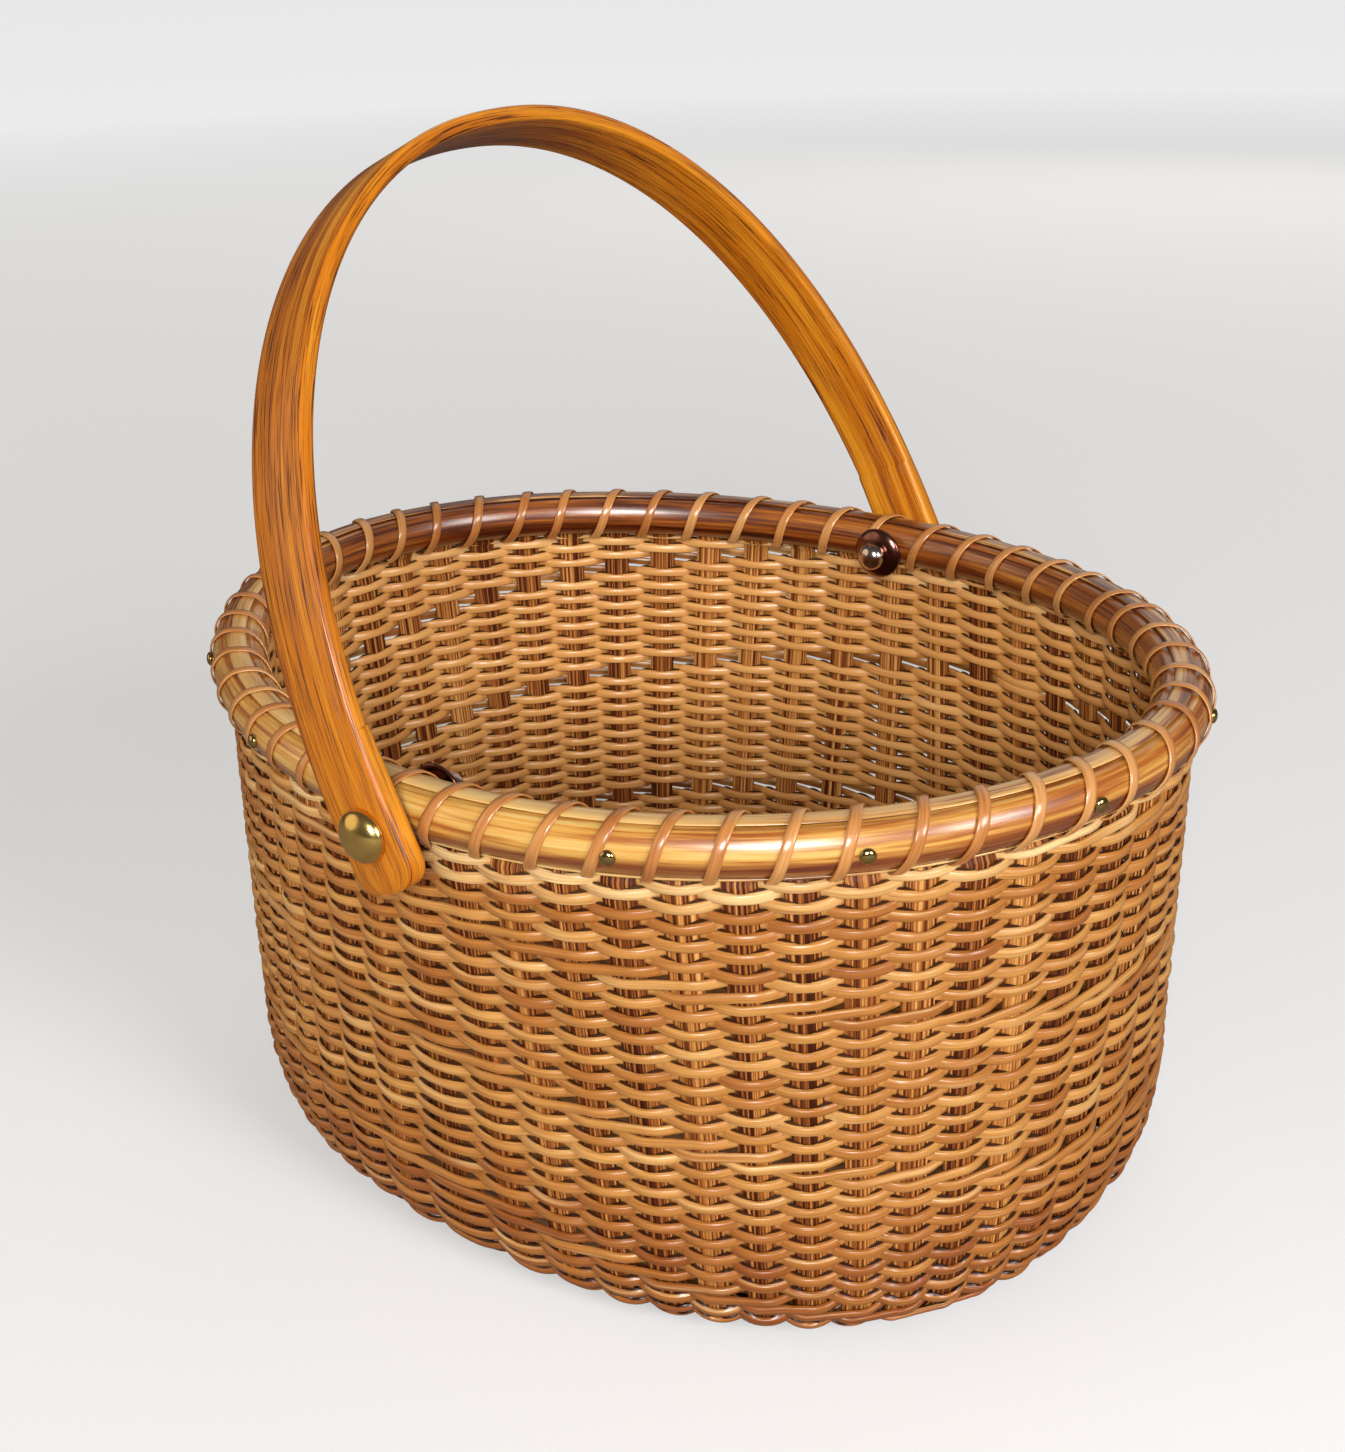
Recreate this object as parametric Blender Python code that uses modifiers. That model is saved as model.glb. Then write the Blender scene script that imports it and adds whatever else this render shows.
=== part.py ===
# Oval lightship basket with a swing handle: wooden base, woven wall, lashed double rim.
# Metres. +Z is up, +X runs along the basket, the handle's pins lie along Y.
# The origin is on the table, under the middle of the basket.

import bmesh
import bpy
import math
import numpy as np
from mathutils import Matrix, Vector

# The basket's oval, measured at the middle of the rim's section
RIM_HALF_LENGTH = 0.105
RIM_HALF_WIDTH = 0.0859
RIM_SQUARENESS = 1.95
BASE_SQUARENESS = 2.35
RIM_HEIGHT = 0.107
# The rim rises by this at the basket's ends and drops by it at the pins
RIM_SWEEP = 0.0016

# Staves and woven wall
STAVE_COUNT = 54
FRONT_CROWDING_SHARE = 0.0143
END_SPREAD_SHARE = 0.0038
STAVE_WIDTH = 0.0064
STAVE_THICKNESS = 0.0012
WALL_THICKNESS = 0.0034
WALL_THICKNESS_AT_GAPS = 0.0016
WALL_BELLY = 0.0009
WALL_TAPER = 0.0035
CORNER_REACH = 0.0093
CORNER_HEIGHT = 0.0283
WEAVE_TOP_DROP = 0.0073

# Base plate
BASE_THICKNESS = 0.0065
BASE_SLOT_DEPTH = 0.006
BASE_EDGE_ROUND = 0.0015
FOOT_RUN = 0.0035

# Rims: two half rounds with the stave heads between them
RIM_RADIUS = 0.0055
RIM_FLAT_TOP = 0.0045
RIM_FLAT_BOTTOM = 0.0046
STAVE_HEAD_RISE = 0.004

# Cane strips on the rims, and the lashing over all of them
TOP_CANE_HALF_WIDTH = 0.002
TOP_CANE_THICKNESS = 0.0006
LOWER_CANE_WIDTH = 0.0014
LOWER_CANE_THICKNESS = 0.0007
LASHING_WIDTH = 0.0024
LASHING_THICKNESS = 0.0005
LASHING_GAP = 0.0004

# Nails: one through every so many staves, counted both ways from the front pin
NAIL_STAVE_STEP = 4
NAIL_HEAD_RADIUS = 0.0015
NAIL_HEAD_HEIGHT = 0.0009
NAIL_SHANK_RADIUS = 0.0005
NAIL_DEPTH_BEYOND_STAVE = 0.0022

# Handle: a hoop whose feet stand outside the rim, turned about the pins
PIN_DROP = 0.0015
HANDLE_LEAN_DEGREES = -25.4
HANDLE_REACH = 0.1187
HANDLE_SQUARENESS = 2.15
HANDLE_WIDTH = 0.0152
HANDLE_THICKNESS = 0.0034
HANDLE_EDGE_ROUND = 0.0007
SHOULDER_THICKNESS = 0.0046
SHOULDER_ABOVE_PIN = 0.0178
SHOULDER_STEP = 0.0008
SHOULDER_FLARE = 0.022
HANDLE_BELOW_PIN = 0.0115
HANDLE_END_ROUND = 0.005
SWING_CLEARANCE = 0.0005

# Pins, washers and cap nuts
PIN_SHANK_RADIUS = 0.0016
PIN_HEAD_RADIUS = 0.0052
PIN_HEAD_HEIGHT = 0.0031
PIN_BEYOND_WASHER = 0.0022
WASHER_RADIUS = 0.0061
WASHER_THICKNESS = 0.0008
WASHER_DISH = 0.0011
CAP_NUT_RADIUS = 0.0033
CAP_NUT_SKIRT = 0.0014
CAP_NUT_WALL = 0.0009

# Fits between pieces
FIT_GAP = 0.0003
CUT_OVERRUN = 0.001
MERGE_DISTANCE = 0.00001

# Facets
OUTER_CORNER_STEPS = 4
INNER_CORNER_STEPS = 3
RIM_ARC_STEPS = 5
LASHING_ARC_POINTS = 4
HANDLE_STEPS = 20
END_STEPS = 3
TURNED_STEPS = 16
NAIL_STEPS = 6
DOME_STEPS = 3
BORE_SIDES = 12
NAIL_BORE_SIDES = 6
BASE_OUTLINE_POINTS = 48
SHARP_DEGREES = 35
OVAL_SAMPLES = 4000
MM_PER_M = 1000

PIN_HEIGHT = RIM_HEIGHT - RIM_SWEEP - PIN_DROP
RIM_TOP_ANGLE = math.asin(RIM_FLAT_TOP / RIM_RADIUS)
RIM_LOW_ANGLE = math.asin(RIM_FLAT_BOTTOM / RIM_RADIUS)
LASHING_STEP = (RIM_TOP_ANGLE + RIM_LOW_ANGLE) / LASHING_ARC_POINTS
LASHING_REACH = (RIM_RADIUS + LASHING_GAP + LASHING_THICKNESS / 2) / math.cos(LASHING_STEP / 2)
LASHING_OUT = LASHING_REACH + LASHING_THICKNESS / 2
HANDLE_INNER_Y = RIM_HALF_WIDTH + LASHING_OUT + SWING_CLEARANCE
HANDLE_OUTER_Y = HANDLE_INNER_Y + SHOULDER_THICKNESS
HANDLE_LINE_Y = HANDLE_OUTER_Y - HANDLE_THICKNESS / 2
WASHER_Y = RIM_HALF_WIDTH - LASHING_OUT - FIT_GAP


def clear_scene():
    for obj in list(bpy.data.objects):
        bpy.data.objects.remove(obj, do_unlink=True)


def new_collection(name):
    collection = bpy.data.collections.new(name)
    bpy.context.scene.collection.children.link(collection)
    return collection


def new_material(name, colour, roughness, metallic=0.0):
    material = bpy.data.materials.new(name)
    material.use_nodes = True
    shader = material.node_tree.nodes["Principled BSDF"]
    shader.inputs["Base Color"].default_value = (*colour, 1.0)
    shader.inputs["Roughness"].default_value = roughness
    shader.inputs["Metallic"].default_value = metallic
    material.diffuse_color = (*colour, 1.0)
    return material


def new_piece(name, mesh, collection, material=None):
    piece = bpy.data.objects.new(name, mesh)
    collection.objects.link(piece)
    if material is not None:
        mesh.materials.clear()
        mesh.materials.append(material)
    return piece


def finish_mesh(bm, name):
    bmesh.ops.recalc_face_normals(bm, faces=bm.faces)
    mesh = bpy.data.meshes.new(name)
    bm.to_mesh(mesh)
    bm.free()
    mesh.shade_smooth()
    mesh.set_sharp_from_angle(angle=math.radians(SHARP_DEGREES))
    return mesh


# The oval

def oval_point(turn, half_length, half_width, squareness):
    c, s = math.cos(turn), math.sin(turn)
    x = math.copysign(abs(c) ** (2 / squareness), c) * half_length
    y = math.copysign(abs(s) ** (2 / squareness), s) * half_width
    return x, y


def oval_turns(arc_shares):
    """Turns at equal shares of the rim's length, counted from the front pin towards +X."""
    start = -math.pi / 2
    turns = np.linspace(start, start + 2 * math.pi, OVAL_SAMPLES + 1)
    points = np.array([oval_point(t, RIM_HALF_LENGTH, RIM_HALF_WIDTH, RIM_SQUARENESS) for t in turns])
    steps = np.hypot(*np.diff(points, axis=0).T)
    length = np.concatenate([np.zeros(1), np.cumsum(steps)])
    return np.interp(np.asarray(arc_shares) * length[-1], length, turns), length[-1]


def rim_lift(turn):
    """Height of the rim's middle line over its mean: high at the basket's ends, low at the pins."""
    return RIM_SWEEP * math.cos(2 * turn)


def rim_frame(turn):
    """Point on the rim's middle line and the level direction pointing out of the basket there."""
    x, y = oval_point(turn, RIM_HALF_LENGTH, RIM_HALF_WIDTH, RIM_SQUARENESS)
    power = RIM_SQUARENESS - 1
    nx = math.copysign(abs(x / RIM_HALF_LENGTH) ** power, x) / RIM_HALF_LENGTH
    ny = math.copysign(abs(y / RIM_HALF_WIDTH) ** power, y) / RIM_HALF_WIDTH
    return Vector((x, y, RIM_HEIGHT + rim_lift(turn))), Vector((nx, ny, 0)).normalized()


def rim_point(turn, out, up):
    middle, outward = rim_frame(turn)
    return middle + outward * out + Vector((0, 0, up))


def stave_share(stave):
    """Share of the rim's length at a stave. The staves stand closer along the front than the back."""
    turn = 2 * math.pi * stave / STAVE_COUNT
    crowding = END_SPREAD_SHARE * math.sin(2 * turn) - FRONT_CROWDING_SHARE * math.sin(turn)
    return stave / STAVE_COUNT + crowding


def stave_edge_turns(stave):
    """Turns at the edges where a stave opens and closes."""
    _, length = oval_turns([0])
    half = STAVE_WIDTH / length / 2
    middle = stave_share(stave)
    turns, _ = oval_turns(np.mod([middle - half, middle + half], 1.0))
    return list(turns)


def stave_turn(stave):
    turns, _ = oval_turns([stave_share(stave) % 1.0])
    return turns[0]


def gap_turn(stave):
    """Middle of the gap that follows a stave, allowed to run on past a full turn."""
    share = stave_share(stave + 1 / 2)
    turns, _ = oval_turns([share % 1.0])
    return turns[0] + 2 * math.pi * math.floor(share)


# Meshes from rows of points

def loft_ring(rows):
    """Closed ring: every row is the same closed section at the next station."""
    bm = bmesh.new()
    grid = [[bm.verts.new(point) for point in row] for row in rows]
    for here, there in zip(grid, grid[1:] + grid[:1]):
        for k in range(len(here)):
            after = (k + 1) % len(here)
            bm.faces.new((here[k], here[after], there[after], there[k]))
    return bm, grid


def loft_bar(rows, cap_start=True, cap_end=True):
    """Bar from the first closed section to the last, with flat ends where asked."""
    bm = bmesh.new()
    grid = [[bm.verts.new(point) for point in row] for row in rows]
    for here, there in zip(grid, grid[1:]):
        for k in range(len(here)):
            after = (k + 1) % len(here)
            bm.faces.new((here[k], here[after], there[after], there[k]))
    if cap_start:
        bm.faces.new(grid[0])
    if cap_end:
        bm.faces.new(grid[-1])
    return bm


def add_bores(name, bores, collection):
    """One cutter of separate cylinders, each given as (start, end, radius, sides)."""
    bm = bmesh.new()
    for start, end, radius, sides in bores:
        along = end - start
        turn = along.to_track_quat("Z", "Y").to_matrix().to_4x4()
        place = Matrix.Translation((start + end) / 2) @ turn
        bmesh.ops.create_cone(bm, cap_ends=True, segments=sides, radius1=radius, radius2=radius,
                              depth=along.length, matrix=place)
    cutter = new_piece(name, finish_mesh(bm, name), collection)
    cutter.hide_render = True
    cutter.display_type = "WIRE"
    return cutter


def cut(piece, cutter):
    modifier = piece.modifiers.new("bores", "BOOLEAN")
    modifier.operation = "DIFFERENCE"
    modifier.solver = "EXACT"
    modifier.object = cutter


# Base plate

def wall_foot():
    """Heights of the stave's middle and inset of the wall's outside where it meets the base."""
    stave_z = BASE_THICKNESS / 2
    inset = WALL_TAPER + CORNER_REACH - WALL_BELLY - WALL_THICKNESS / 2
    return stave_z, inset


def base_inset():
    _, inset = wall_foot()
    return inset + FOOT_RUN + FIT_GAP


def base_outline(inset, z):
    points = []
    for k in range(BASE_OUTLINE_POINTS):
        turn = 2 * math.pi * k / BASE_OUTLINE_POINTS
        x, y = oval_point(turn, RIM_HALF_LENGTH - inset, RIM_HALF_WIDTH - inset, BASE_SQUARENESS)
        points.append((x, y, z))
    return points


def oval_plate(name, inset, low, high, collection, material=None):
    """Flat plate cut to the base's oval, standing between two heights."""
    curve = bpy.data.curves.new(name, "CURVE")
    curve.dimensions = "2D"
    curve.fill_mode = "BOTH"
    curve.extrude = (high - low) / 2
    outline = base_outline(inset, 0)
    spline = curve.splines.new("POLY")
    spline.points.add(len(outline) - 1)
    for point, place in zip(spline.points, outline):
        point.co = (*place, 1)
    spline.use_cyclic_u = True
    plate = bpy.data.objects.new(name, curve)
    collection.objects.link(plate)
    plate.location.z = (low + high) / 2
    return curve_to_mesh(plate, collection, material)


def curve_to_mesh(source, collection, material=None):
    bpy.context.view_layer.update()
    graph = bpy.context.evaluated_depsgraph_get()
    mesh = bpy.data.meshes.new_from_object(source.evaluated_get(graph))
    bm = bmesh.new()
    bm.from_mesh(mesh)
    bmesh.ops.remove_doubles(bm, verts=bm.verts, dist=MERGE_DISTANCE)
    bmesh.ops.recalc_face_normals(bm, faces=bm.faces)
    bm.to_mesh(mesh)
    bm.free()
    name, place = source.name, source.matrix_world.copy()
    bpy.data.objects.remove(source, do_unlink=True)
    piece = new_piece(name, mesh, collection, material)
    piece.matrix_world = place
    return piece


def make_base_plate(parts, cutters, wood):
    plate = oval_plate("base_plate", base_inset(), 0, BASE_THICKNESS, parts, wood)
    rounding = plate.modifiers.new("edge_round", "BEVEL")
    rounding.width = BASE_EDGE_ROUND
    rounding.segments = 2
    rounding.limit_method = "ANGLE"
    stave_z, _ = wall_foot()
    half_slot = STAVE_THICKNESS / 2 + FIT_GAP
    core_inset = base_inset() + BASE_SLOT_DEPTH
    slot = slot_ring(core_inset, stave_z - half_slot, stave_z + half_slot, cutters)
    cut(plate, slot)


def slot_ring(core_inset, low, high, cutters):
    """Ring that clears the slot, from its inner wall to outside the plate."""
    outer_inset = base_inset() - CUT_OVERRUN
    rows = []
    for k in range(BASE_OUTLINE_POINTS):
        turn = 2 * math.pi * k / BASE_OUTLINE_POINTS
        section = []
        for inset, z in ((outer_inset, low), (outer_inset, high), (core_inset, high), (core_inset, low)):
            x, y = oval_point(turn, RIM_HALF_LENGTH - inset, RIM_HALF_WIDTH - inset, BASE_SQUARENESS)
            section.append((x, y, z))
        rows.append(section)
    bm, _ = loft_ring(rows)
    ring = new_piece("base_slot_cutter", finish_mesh(bm, "base_slot_cutter"), cutters)
    ring.hide_render = True
    ring.display_type = "WIRE"
    return ring


# Woven wall

def wall_profile(depth_in_wall, corner_steps):
    """Inset and height of one skin of the wall, top to bottom, at a depth behind its outside,
    each with its share of the way down, which turns the rim's oval into the base's."""
    top = RIM_HEIGHT - WEAVE_TOP_DROP
    stave_z, foot_inset = wall_foot()
    bottom = stave_z - WALL_THICKNESS / 2 + depth_in_wall
    start_inset = -WALL_BELLY - WALL_THICKNESS / 2 + depth_in_wall
    corner_height = CORNER_HEIGHT - depth_in_wall
    corner_reach = CORNER_REACH - depth_in_wall
    corner_top = bottom + corner_height
    straight_share = 1 - CORNER_HEIGHT / (top - stave_z)
    profile = [(start_inset, top, 0)]
    for k in range(corner_steps + 1):
        bend = math.pi / 2 * k / corner_steps
        inset = start_inset + WALL_TAPER + corner_reach * (1 - math.cos(bend))
        share = straight_share + (1 - straight_share) * math.sin(bend)
        profile.append((inset, corner_top - corner_height * math.sin(bend), share))
    profile.append((foot_inset + FOOT_RUN, bottom, 1))
    return profile


def wall_point(turn, inset, z, share):
    squareness = RIM_SQUARENESS + (BASE_SQUARENESS - RIM_SQUARENESS) * share
    x, y = oval_point(turn, RIM_HALF_LENGTH - inset, RIM_HALF_WIDTH - inset, squareness)
    return Vector((x, y, z + rim_lift(turn) * (1 - share)))


def wall_section(thickness):
    """Closed section of the wall: outside down, stave's foot, inside up, stave's head."""
    drawn_in = (WALL_THICKNESS - thickness) / 2
    cover = (WALL_THICKNESS - STAVE_THICKNESS) / 2
    outside = wall_profile(drawn_in, OUTER_CORNER_STEPS)
    inside = wall_profile(WALL_THICKNESS - drawn_in, INNER_CORNER_STEPS)
    stave_out = wall_profile(cover, OUTER_CORNER_STEPS)
    stave_in = wall_profile(cover + STAVE_THICKNESS, INNER_CORNER_STEPS)
    return outside + [stave_out[-1], stave_in[-1]] + inside[::-1] + [stave_in[0], stave_out[0]]


def wall_rows():
    """Three stations a stave: both its edges, where the weave bulges over it, and the gap after it."""
    over_stave = wall_section(WALL_THICKNESS)
    at_gap = wall_section(WALL_THICKNESS_AT_GAPS)
    rows = []
    for stave in range(STAVE_COUNT):
        for turn in stave_edge_turns(stave):
            rows.append([wall_point(turn, *level) for level in over_stave])
        rows.append([wall_point(gap_turn(stave), *level) for level in at_gap])
    return rows


def make_woven_wall(parts, bores, wood):
    """Ribbed shell with the stave heads drawn up out of its top and their feet drawn into the base."""
    bm, grid = loft_ring(wall_rows())
    foot = len(wall_profile(0, OUTER_CORNER_STEPS))
    head = len(grid[0]) - 2
    faces = {frozenset(face.verts): face for face in bm.faces}
    shoulder_drop = FIT_GAP - lower_cane_section()[2]
    for stave in range(STAVE_COUNT):
        opening, closing = grid[3 * stave], grid[3 * stave + 1]
        _, outward = rim_frame(stave_turn(stave))
        neck = Vector((0, 0, WEAVE_TOP_DROP - shoulder_drop)) - outward * WALL_BELLY
        rise = Vector((0, 0, shoulder_drop + STAVE_HEAD_RISE))
        drawn = draw_out(bm, stave_face(faces, opening, closing, head), neck)
        draw_out(bm, drawn, rise)
        draw_out(bm, stave_face(faces, opening, closing, foot), -outward * BASE_SLOT_DEPTH)
    wall = new_piece("woven_wall", finish_mesh(bm, "woven_wall"), parts, wood)
    cut(wall, bores)


def stave_face(faces, opening, closing, level):
    """The face of one stave's end between its two edges, at a level of the section."""
    return faces[frozenset((opening[level], opening[level + 1], closing[level + 1], closing[level]))]


def draw_out(bm, face, shift):
    drawn = bmesh.ops.extrude_discrete_faces(bm, faces=[face])["faces"][0]
    for vert in drawn.verts:
        vert.co += shift
    return drawn


# Rims and cane strips

def half_round(side):
    """Section of a rim: flat against the staves, round on the far side, flattened on top."""
    flat = STAVE_THICKNESS / 2 + FIT_GAP
    section = [(side * flat, RIM_FLAT_TOP)]
    for k in range(RIM_ARC_STEPS + 1):
        bend = RIM_TOP_ANGLE - (RIM_TOP_ANGLE + RIM_LOW_ANGLE) * k / RIM_ARC_STEPS
        section.append((side * RIM_RADIUS * math.cos(bend), RIM_RADIUS * math.sin(bend)))
    section.append((side * flat, -RIM_FLAT_BOTTOM))
    return section


def make_ring(name, section, parts, material):
    turns = [gap_turn(stave) for stave in range(STAVE_COUNT)]
    rows = [[rim_point(turn, out, up) for out, up in section] for turn in turns]
    bm, _ = loft_ring(rows)
    return new_piece(name, finish_mesh(bm, name), parts, material)


def make_rims(parts, bores, wood):
    for name, side in (("outer_rim", 1), ("inner_rim", -1)):
        rim = make_ring(name, half_round(side), parts, wood)
        cut(rim, bores)


def make_top_cane(parts, cane):
    low = RIM_FLAT_TOP + FIT_GAP
    high = low + TOP_CANE_THICKNESS
    crown = high - TOP_CANE_THICKNESS / 2
    half = TOP_CANE_HALF_WIDTH
    section = [(-half, low), (-half, crown), (-half / 2, high), (half / 2, high), (half, crown), (half, low)]
    make_ring("rim_top_cane", section, parts, cane)


def lower_cane_section():
    near = STAVE_THICKNESS / 2 + FIT_GAP
    high = -RIM_FLAT_BOTTOM - FIT_GAP
    low = high - LOWER_CANE_THICKNESS
    return near, near + LOWER_CANE_WIDTH, low, high


def make_lower_cane(parts, cane):
    near, far, low, high = lower_cane_section()
    section = [(near, high), (far, high), (far, low), (near, low)]
    make_ring("rim_lower_cane", section, parts, cane)


# Lashing: one strand that climbs over both rims from each gap to the next and back under them

def lashing_loop():
    """Middle of the strand around the rims: out, up, turn towards out, in the order it is wound."""
    half = LASHING_THICKNESS / 2
    _, strip_far, strip_low, _ = lower_cane_section()
    under = strip_low - FIT_GAP - half
    top = RIM_FLAT_TOP + FIT_GAP + TOP_CANE_THICKNESS + FIT_GAP + half
    outside = [(strip_far + FIT_GAP + half, under)]
    for k in range(LASHING_ARC_POINTS):
        bend = LASHING_STEP * (k + 1 / 2) - RIM_LOW_ANGLE
        outside.append((LASHING_REACH * math.cos(bend), LASHING_REACH * math.sin(bend)))
    outside.append((TOP_CANE_HALF_WIDTH, top))
    inside = [(-out, up) for out, up in reversed(outside)]
    return outside + inside


def make_lashing(parts, cane):
    loop = lashing_loop()
    centres = []
    for stave in range(STAVE_COUNT):
        start, end = gap_turn(stave), gap_turn(stave + 1)
        for k, (out, up) in enumerate(loop):
            share = k / (len(loop) - 1)
            centres.append((start + (end - start) * share, out, up))
    rows = []
    count = len(loop)
    for k, (turn, out, up) in enumerate(centres):
        here = k % count
        before, after = loop[here - 1], loop[(here + 1) % count]
        rows.append(strand_section(turn, out, up, before, after))
    report_self_gap([rim_point(*centre) for centre in centres], len(loop))
    new_piece("rim_lashing", finish_mesh(loft_bar(rows), "rim_lashing"), parts, cane)


def report_self_gap(points, turn_length):
    """Print the least gap between the strand and itself, measured half a turn or more apart."""
    places = np.array([tuple(point) for point in points])
    least = math.inf
    for k in range(len(places) - turn_length):
        apart = np.linalg.norm(places[k + turn_length // 2:] - places[k], axis=1)
        least = min(least, apart.min())
    print(f"rim_lashing: least gap to itself {(least - LASHING_WIDTH) * MM_PER_M:.2f} mm")


def strand_section(turn, out, up, before, after):
    """Flat section of the strand, mitred between the pieces of the loop before and after it."""
    first = Vector((out - before[0], up - before[1])).normalized()
    second = Vector((after[0] - out, after[1] - up)).normalized()
    along = (first + second).normalized()
    half = LASHING_THICKNESS / 2 / max(along.dot(first), 1 / 2)
    away = Vector((along.y, -along.x)) * half
    _, outward = rim_frame(turn)
    sideways = Vector((-outward.y, outward.x, 0)) * (LASHING_WIDTH / 2)
    corners = []
    for side, face in ((-1, -1), (1, -1), (1, 1), (-1, 1)):
        point = rim_point(turn, out + away.x * face, up + away.y * face)
        corners.append(point + sideways * side)
    return corners


# Turned pieces

def turned_mesh(name, profile, steps, material, collection):
    """Profile of (radius, height), top to bottom down its outer side, turned about Z."""
    mesh = bpy.data.meshes.new(name)
    verts = [(radius, 0, height) for radius, height in profile]
    edges = [(k, k + 1) for k in range(len(profile) - 1)]
    mesh.from_pydata(verts, edges, [])
    piece = new_piece(name, mesh, collection, material)
    screw = piece.modifiers.new("turn", "SCREW")
    screw.axis = "Z"
    screw.steps = steps
    screw.render_steps = steps
    screw.use_merge_vertices = True
    screw.merge_threshold = MERGE_DISTANCE
    return piece


def dome_profile(radius, height, base):
    points = []
    for k in range(DOME_STEPS):
        bend = math.pi / 2 * k / DOME_STEPS
        points.append((radius * math.sin(bend), base + height * math.cos(bend)))
    return points + [(radius, base)]


def aim(piece, place, direction):
    piece.rotation_mode = "QUATERNION"
    piece.rotation_quaternion = direction.to_track_quat("Z", "Y")
    piece.location = place


def nail_staves():
    """Staves with a nail, counted both ways from the front pin and ending short of the back one."""
    right = list(range(NAIL_STAVE_STEP, STAVE_COUNT // 2, NAIL_STAVE_STEP))
    return right + [STAVE_COUNT - stave for stave in reversed(right)]


def nail_seat():
    """Distance from the staves' middle out to the nail's seat on the outer rim."""
    return RIM_RADIUS + FIT_GAP


def make_nails(parts, brass):
    tip = nail_seat() + NAIL_DEPTH_BEYOND_STAVE + STAVE_THICKNESS / 2
    profile = dome_profile(NAIL_HEAD_RADIUS, NAIL_HEAD_HEIGHT, 0)
    profile += [(NAIL_SHANK_RADIUS, 0), (NAIL_SHANK_RADIUS, NAIL_SHANK_RADIUS * 2 - tip), (0, -tip)]
    first = None
    for number, stave in enumerate(nail_staves(), start=1):
        name = f"rim_nail_{number:02d}"
        if first is None:
            nail = first = turned_mesh(name, profile, NAIL_STEPS, brass, parts)
        else:
            nail = first.copy()
            nail.name = name
            parts.objects.link(nail)
        _, outward = rim_frame(stave_turn(stave))
        aim(nail, rim_point(stave_turn(stave), nail_seat(), 0), outward)


def make_pin(name, side, parts, brass):
    seat = HANDLE_OUTER_Y + FIT_GAP
    end = WASHER_Y - WASHER_DISH - WASHER_THICKNESS - PIN_BEYOND_WASHER
    profile = dome_profile(PIN_HEAD_RADIUS, PIN_HEAD_HEIGHT, 0)
    profile += [(PIN_SHANK_RADIUS, 0), (PIN_SHANK_RADIUS, end - seat), (0, end - seat)]
    pin = turned_mesh(name, profile, TURNED_STEPS, brass, parts)
    aim(pin, Vector((0, side * seat, PIN_HEIGHT)), Vector((0, side, 0)))


def make_washer(name, side, parts, metal):
    """Dished washer: its rim stands off the lashing, its middle carries the cap nut."""
    hole = PIN_SHANK_RADIUS + FIT_GAP
    flat = CAP_NUT_RADIUS
    profile = [
        (hole, WASHER_DISH + WASHER_THICKNESS),
        (flat, WASHER_DISH + WASHER_THICKNESS),
        (WASHER_RADIUS, WASHER_THICKNESS),
        (WASHER_RADIUS, 0),
        (flat, WASHER_DISH),
        (hole, WASHER_DISH),
        (hole, WASHER_DISH + WASHER_THICKNESS),
    ]
    washer = turned_mesh(name, profile, TURNED_STEPS, metal, parts)
    aim(washer, Vector((0, side * WASHER_Y, PIN_HEIGHT)), Vector((0, -side, 0)))


def make_cap_nut(name, side, parts, metal):
    """Domed nut with a blind bore for the pin's end."""
    bore = PIN_SHANK_RADIUS + FIT_GAP
    depth = PIN_BEYOND_WASHER
    height = CAP_NUT_RADIUS - CAP_NUT_WALL
    profile = dome_profile(CAP_NUT_RADIUS, height, CAP_NUT_SKIRT)
    profile += [(CAP_NUT_RADIUS, 0), (bore, 0), (bore, depth), (0, depth)]
    nut = turned_mesh(name, profile, TURNED_STEPS, metal, parts)
    seat = WASHER_Y - WASHER_DISH - WASHER_THICKNESS - FIT_GAP
    aim(nut, Vector((0, side * seat, PIN_HEIGHT)), Vector((0, -side, 0)))


# Handle, drawn upright about its pins and then leaned

def hoop_reach(rise):
    """Distance of the strap's middle line from the basket's middle plane at a height above the pins."""
    share = min(max(rise / HANDLE_REACH, 0), 1)
    return HANDLE_LINE_Y * (1 - share ** HANDLE_SQUARENESS) ** (1 / HANDLE_SQUARENESS)


def hoop_normal(rise):
    """Direction out of the hoop, as (along Y, up)."""
    share = min(max(rise / HANDLE_REACH, 0), 1)
    power = HANDLE_SQUARENESS - 1
    across = (hoop_reach(rise) / HANDLE_LINE_Y) ** power / HANDLE_LINE_Y
    upward = share ** power / HANDLE_REACH
    return Vector((across, upward)).normalized()


def strap_faces(rise, depth):
    """Middle of the strap's outer face and of its inner face, depth behind it."""
    normal = hoop_normal(rise)
    outer = Vector((hoop_reach(rise), rise)) + normal * (HANDLE_THICKNESS / 2)
    return outer, outer - normal * depth


def block_faces(rise):
    """The same for the thick end, whose inner face is flat against the rim."""
    outer, _ = strap_faces(rise, HANDLE_THICKNESS)
    return outer, Vector((HANDLE_INNER_Y, outer.y))


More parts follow.
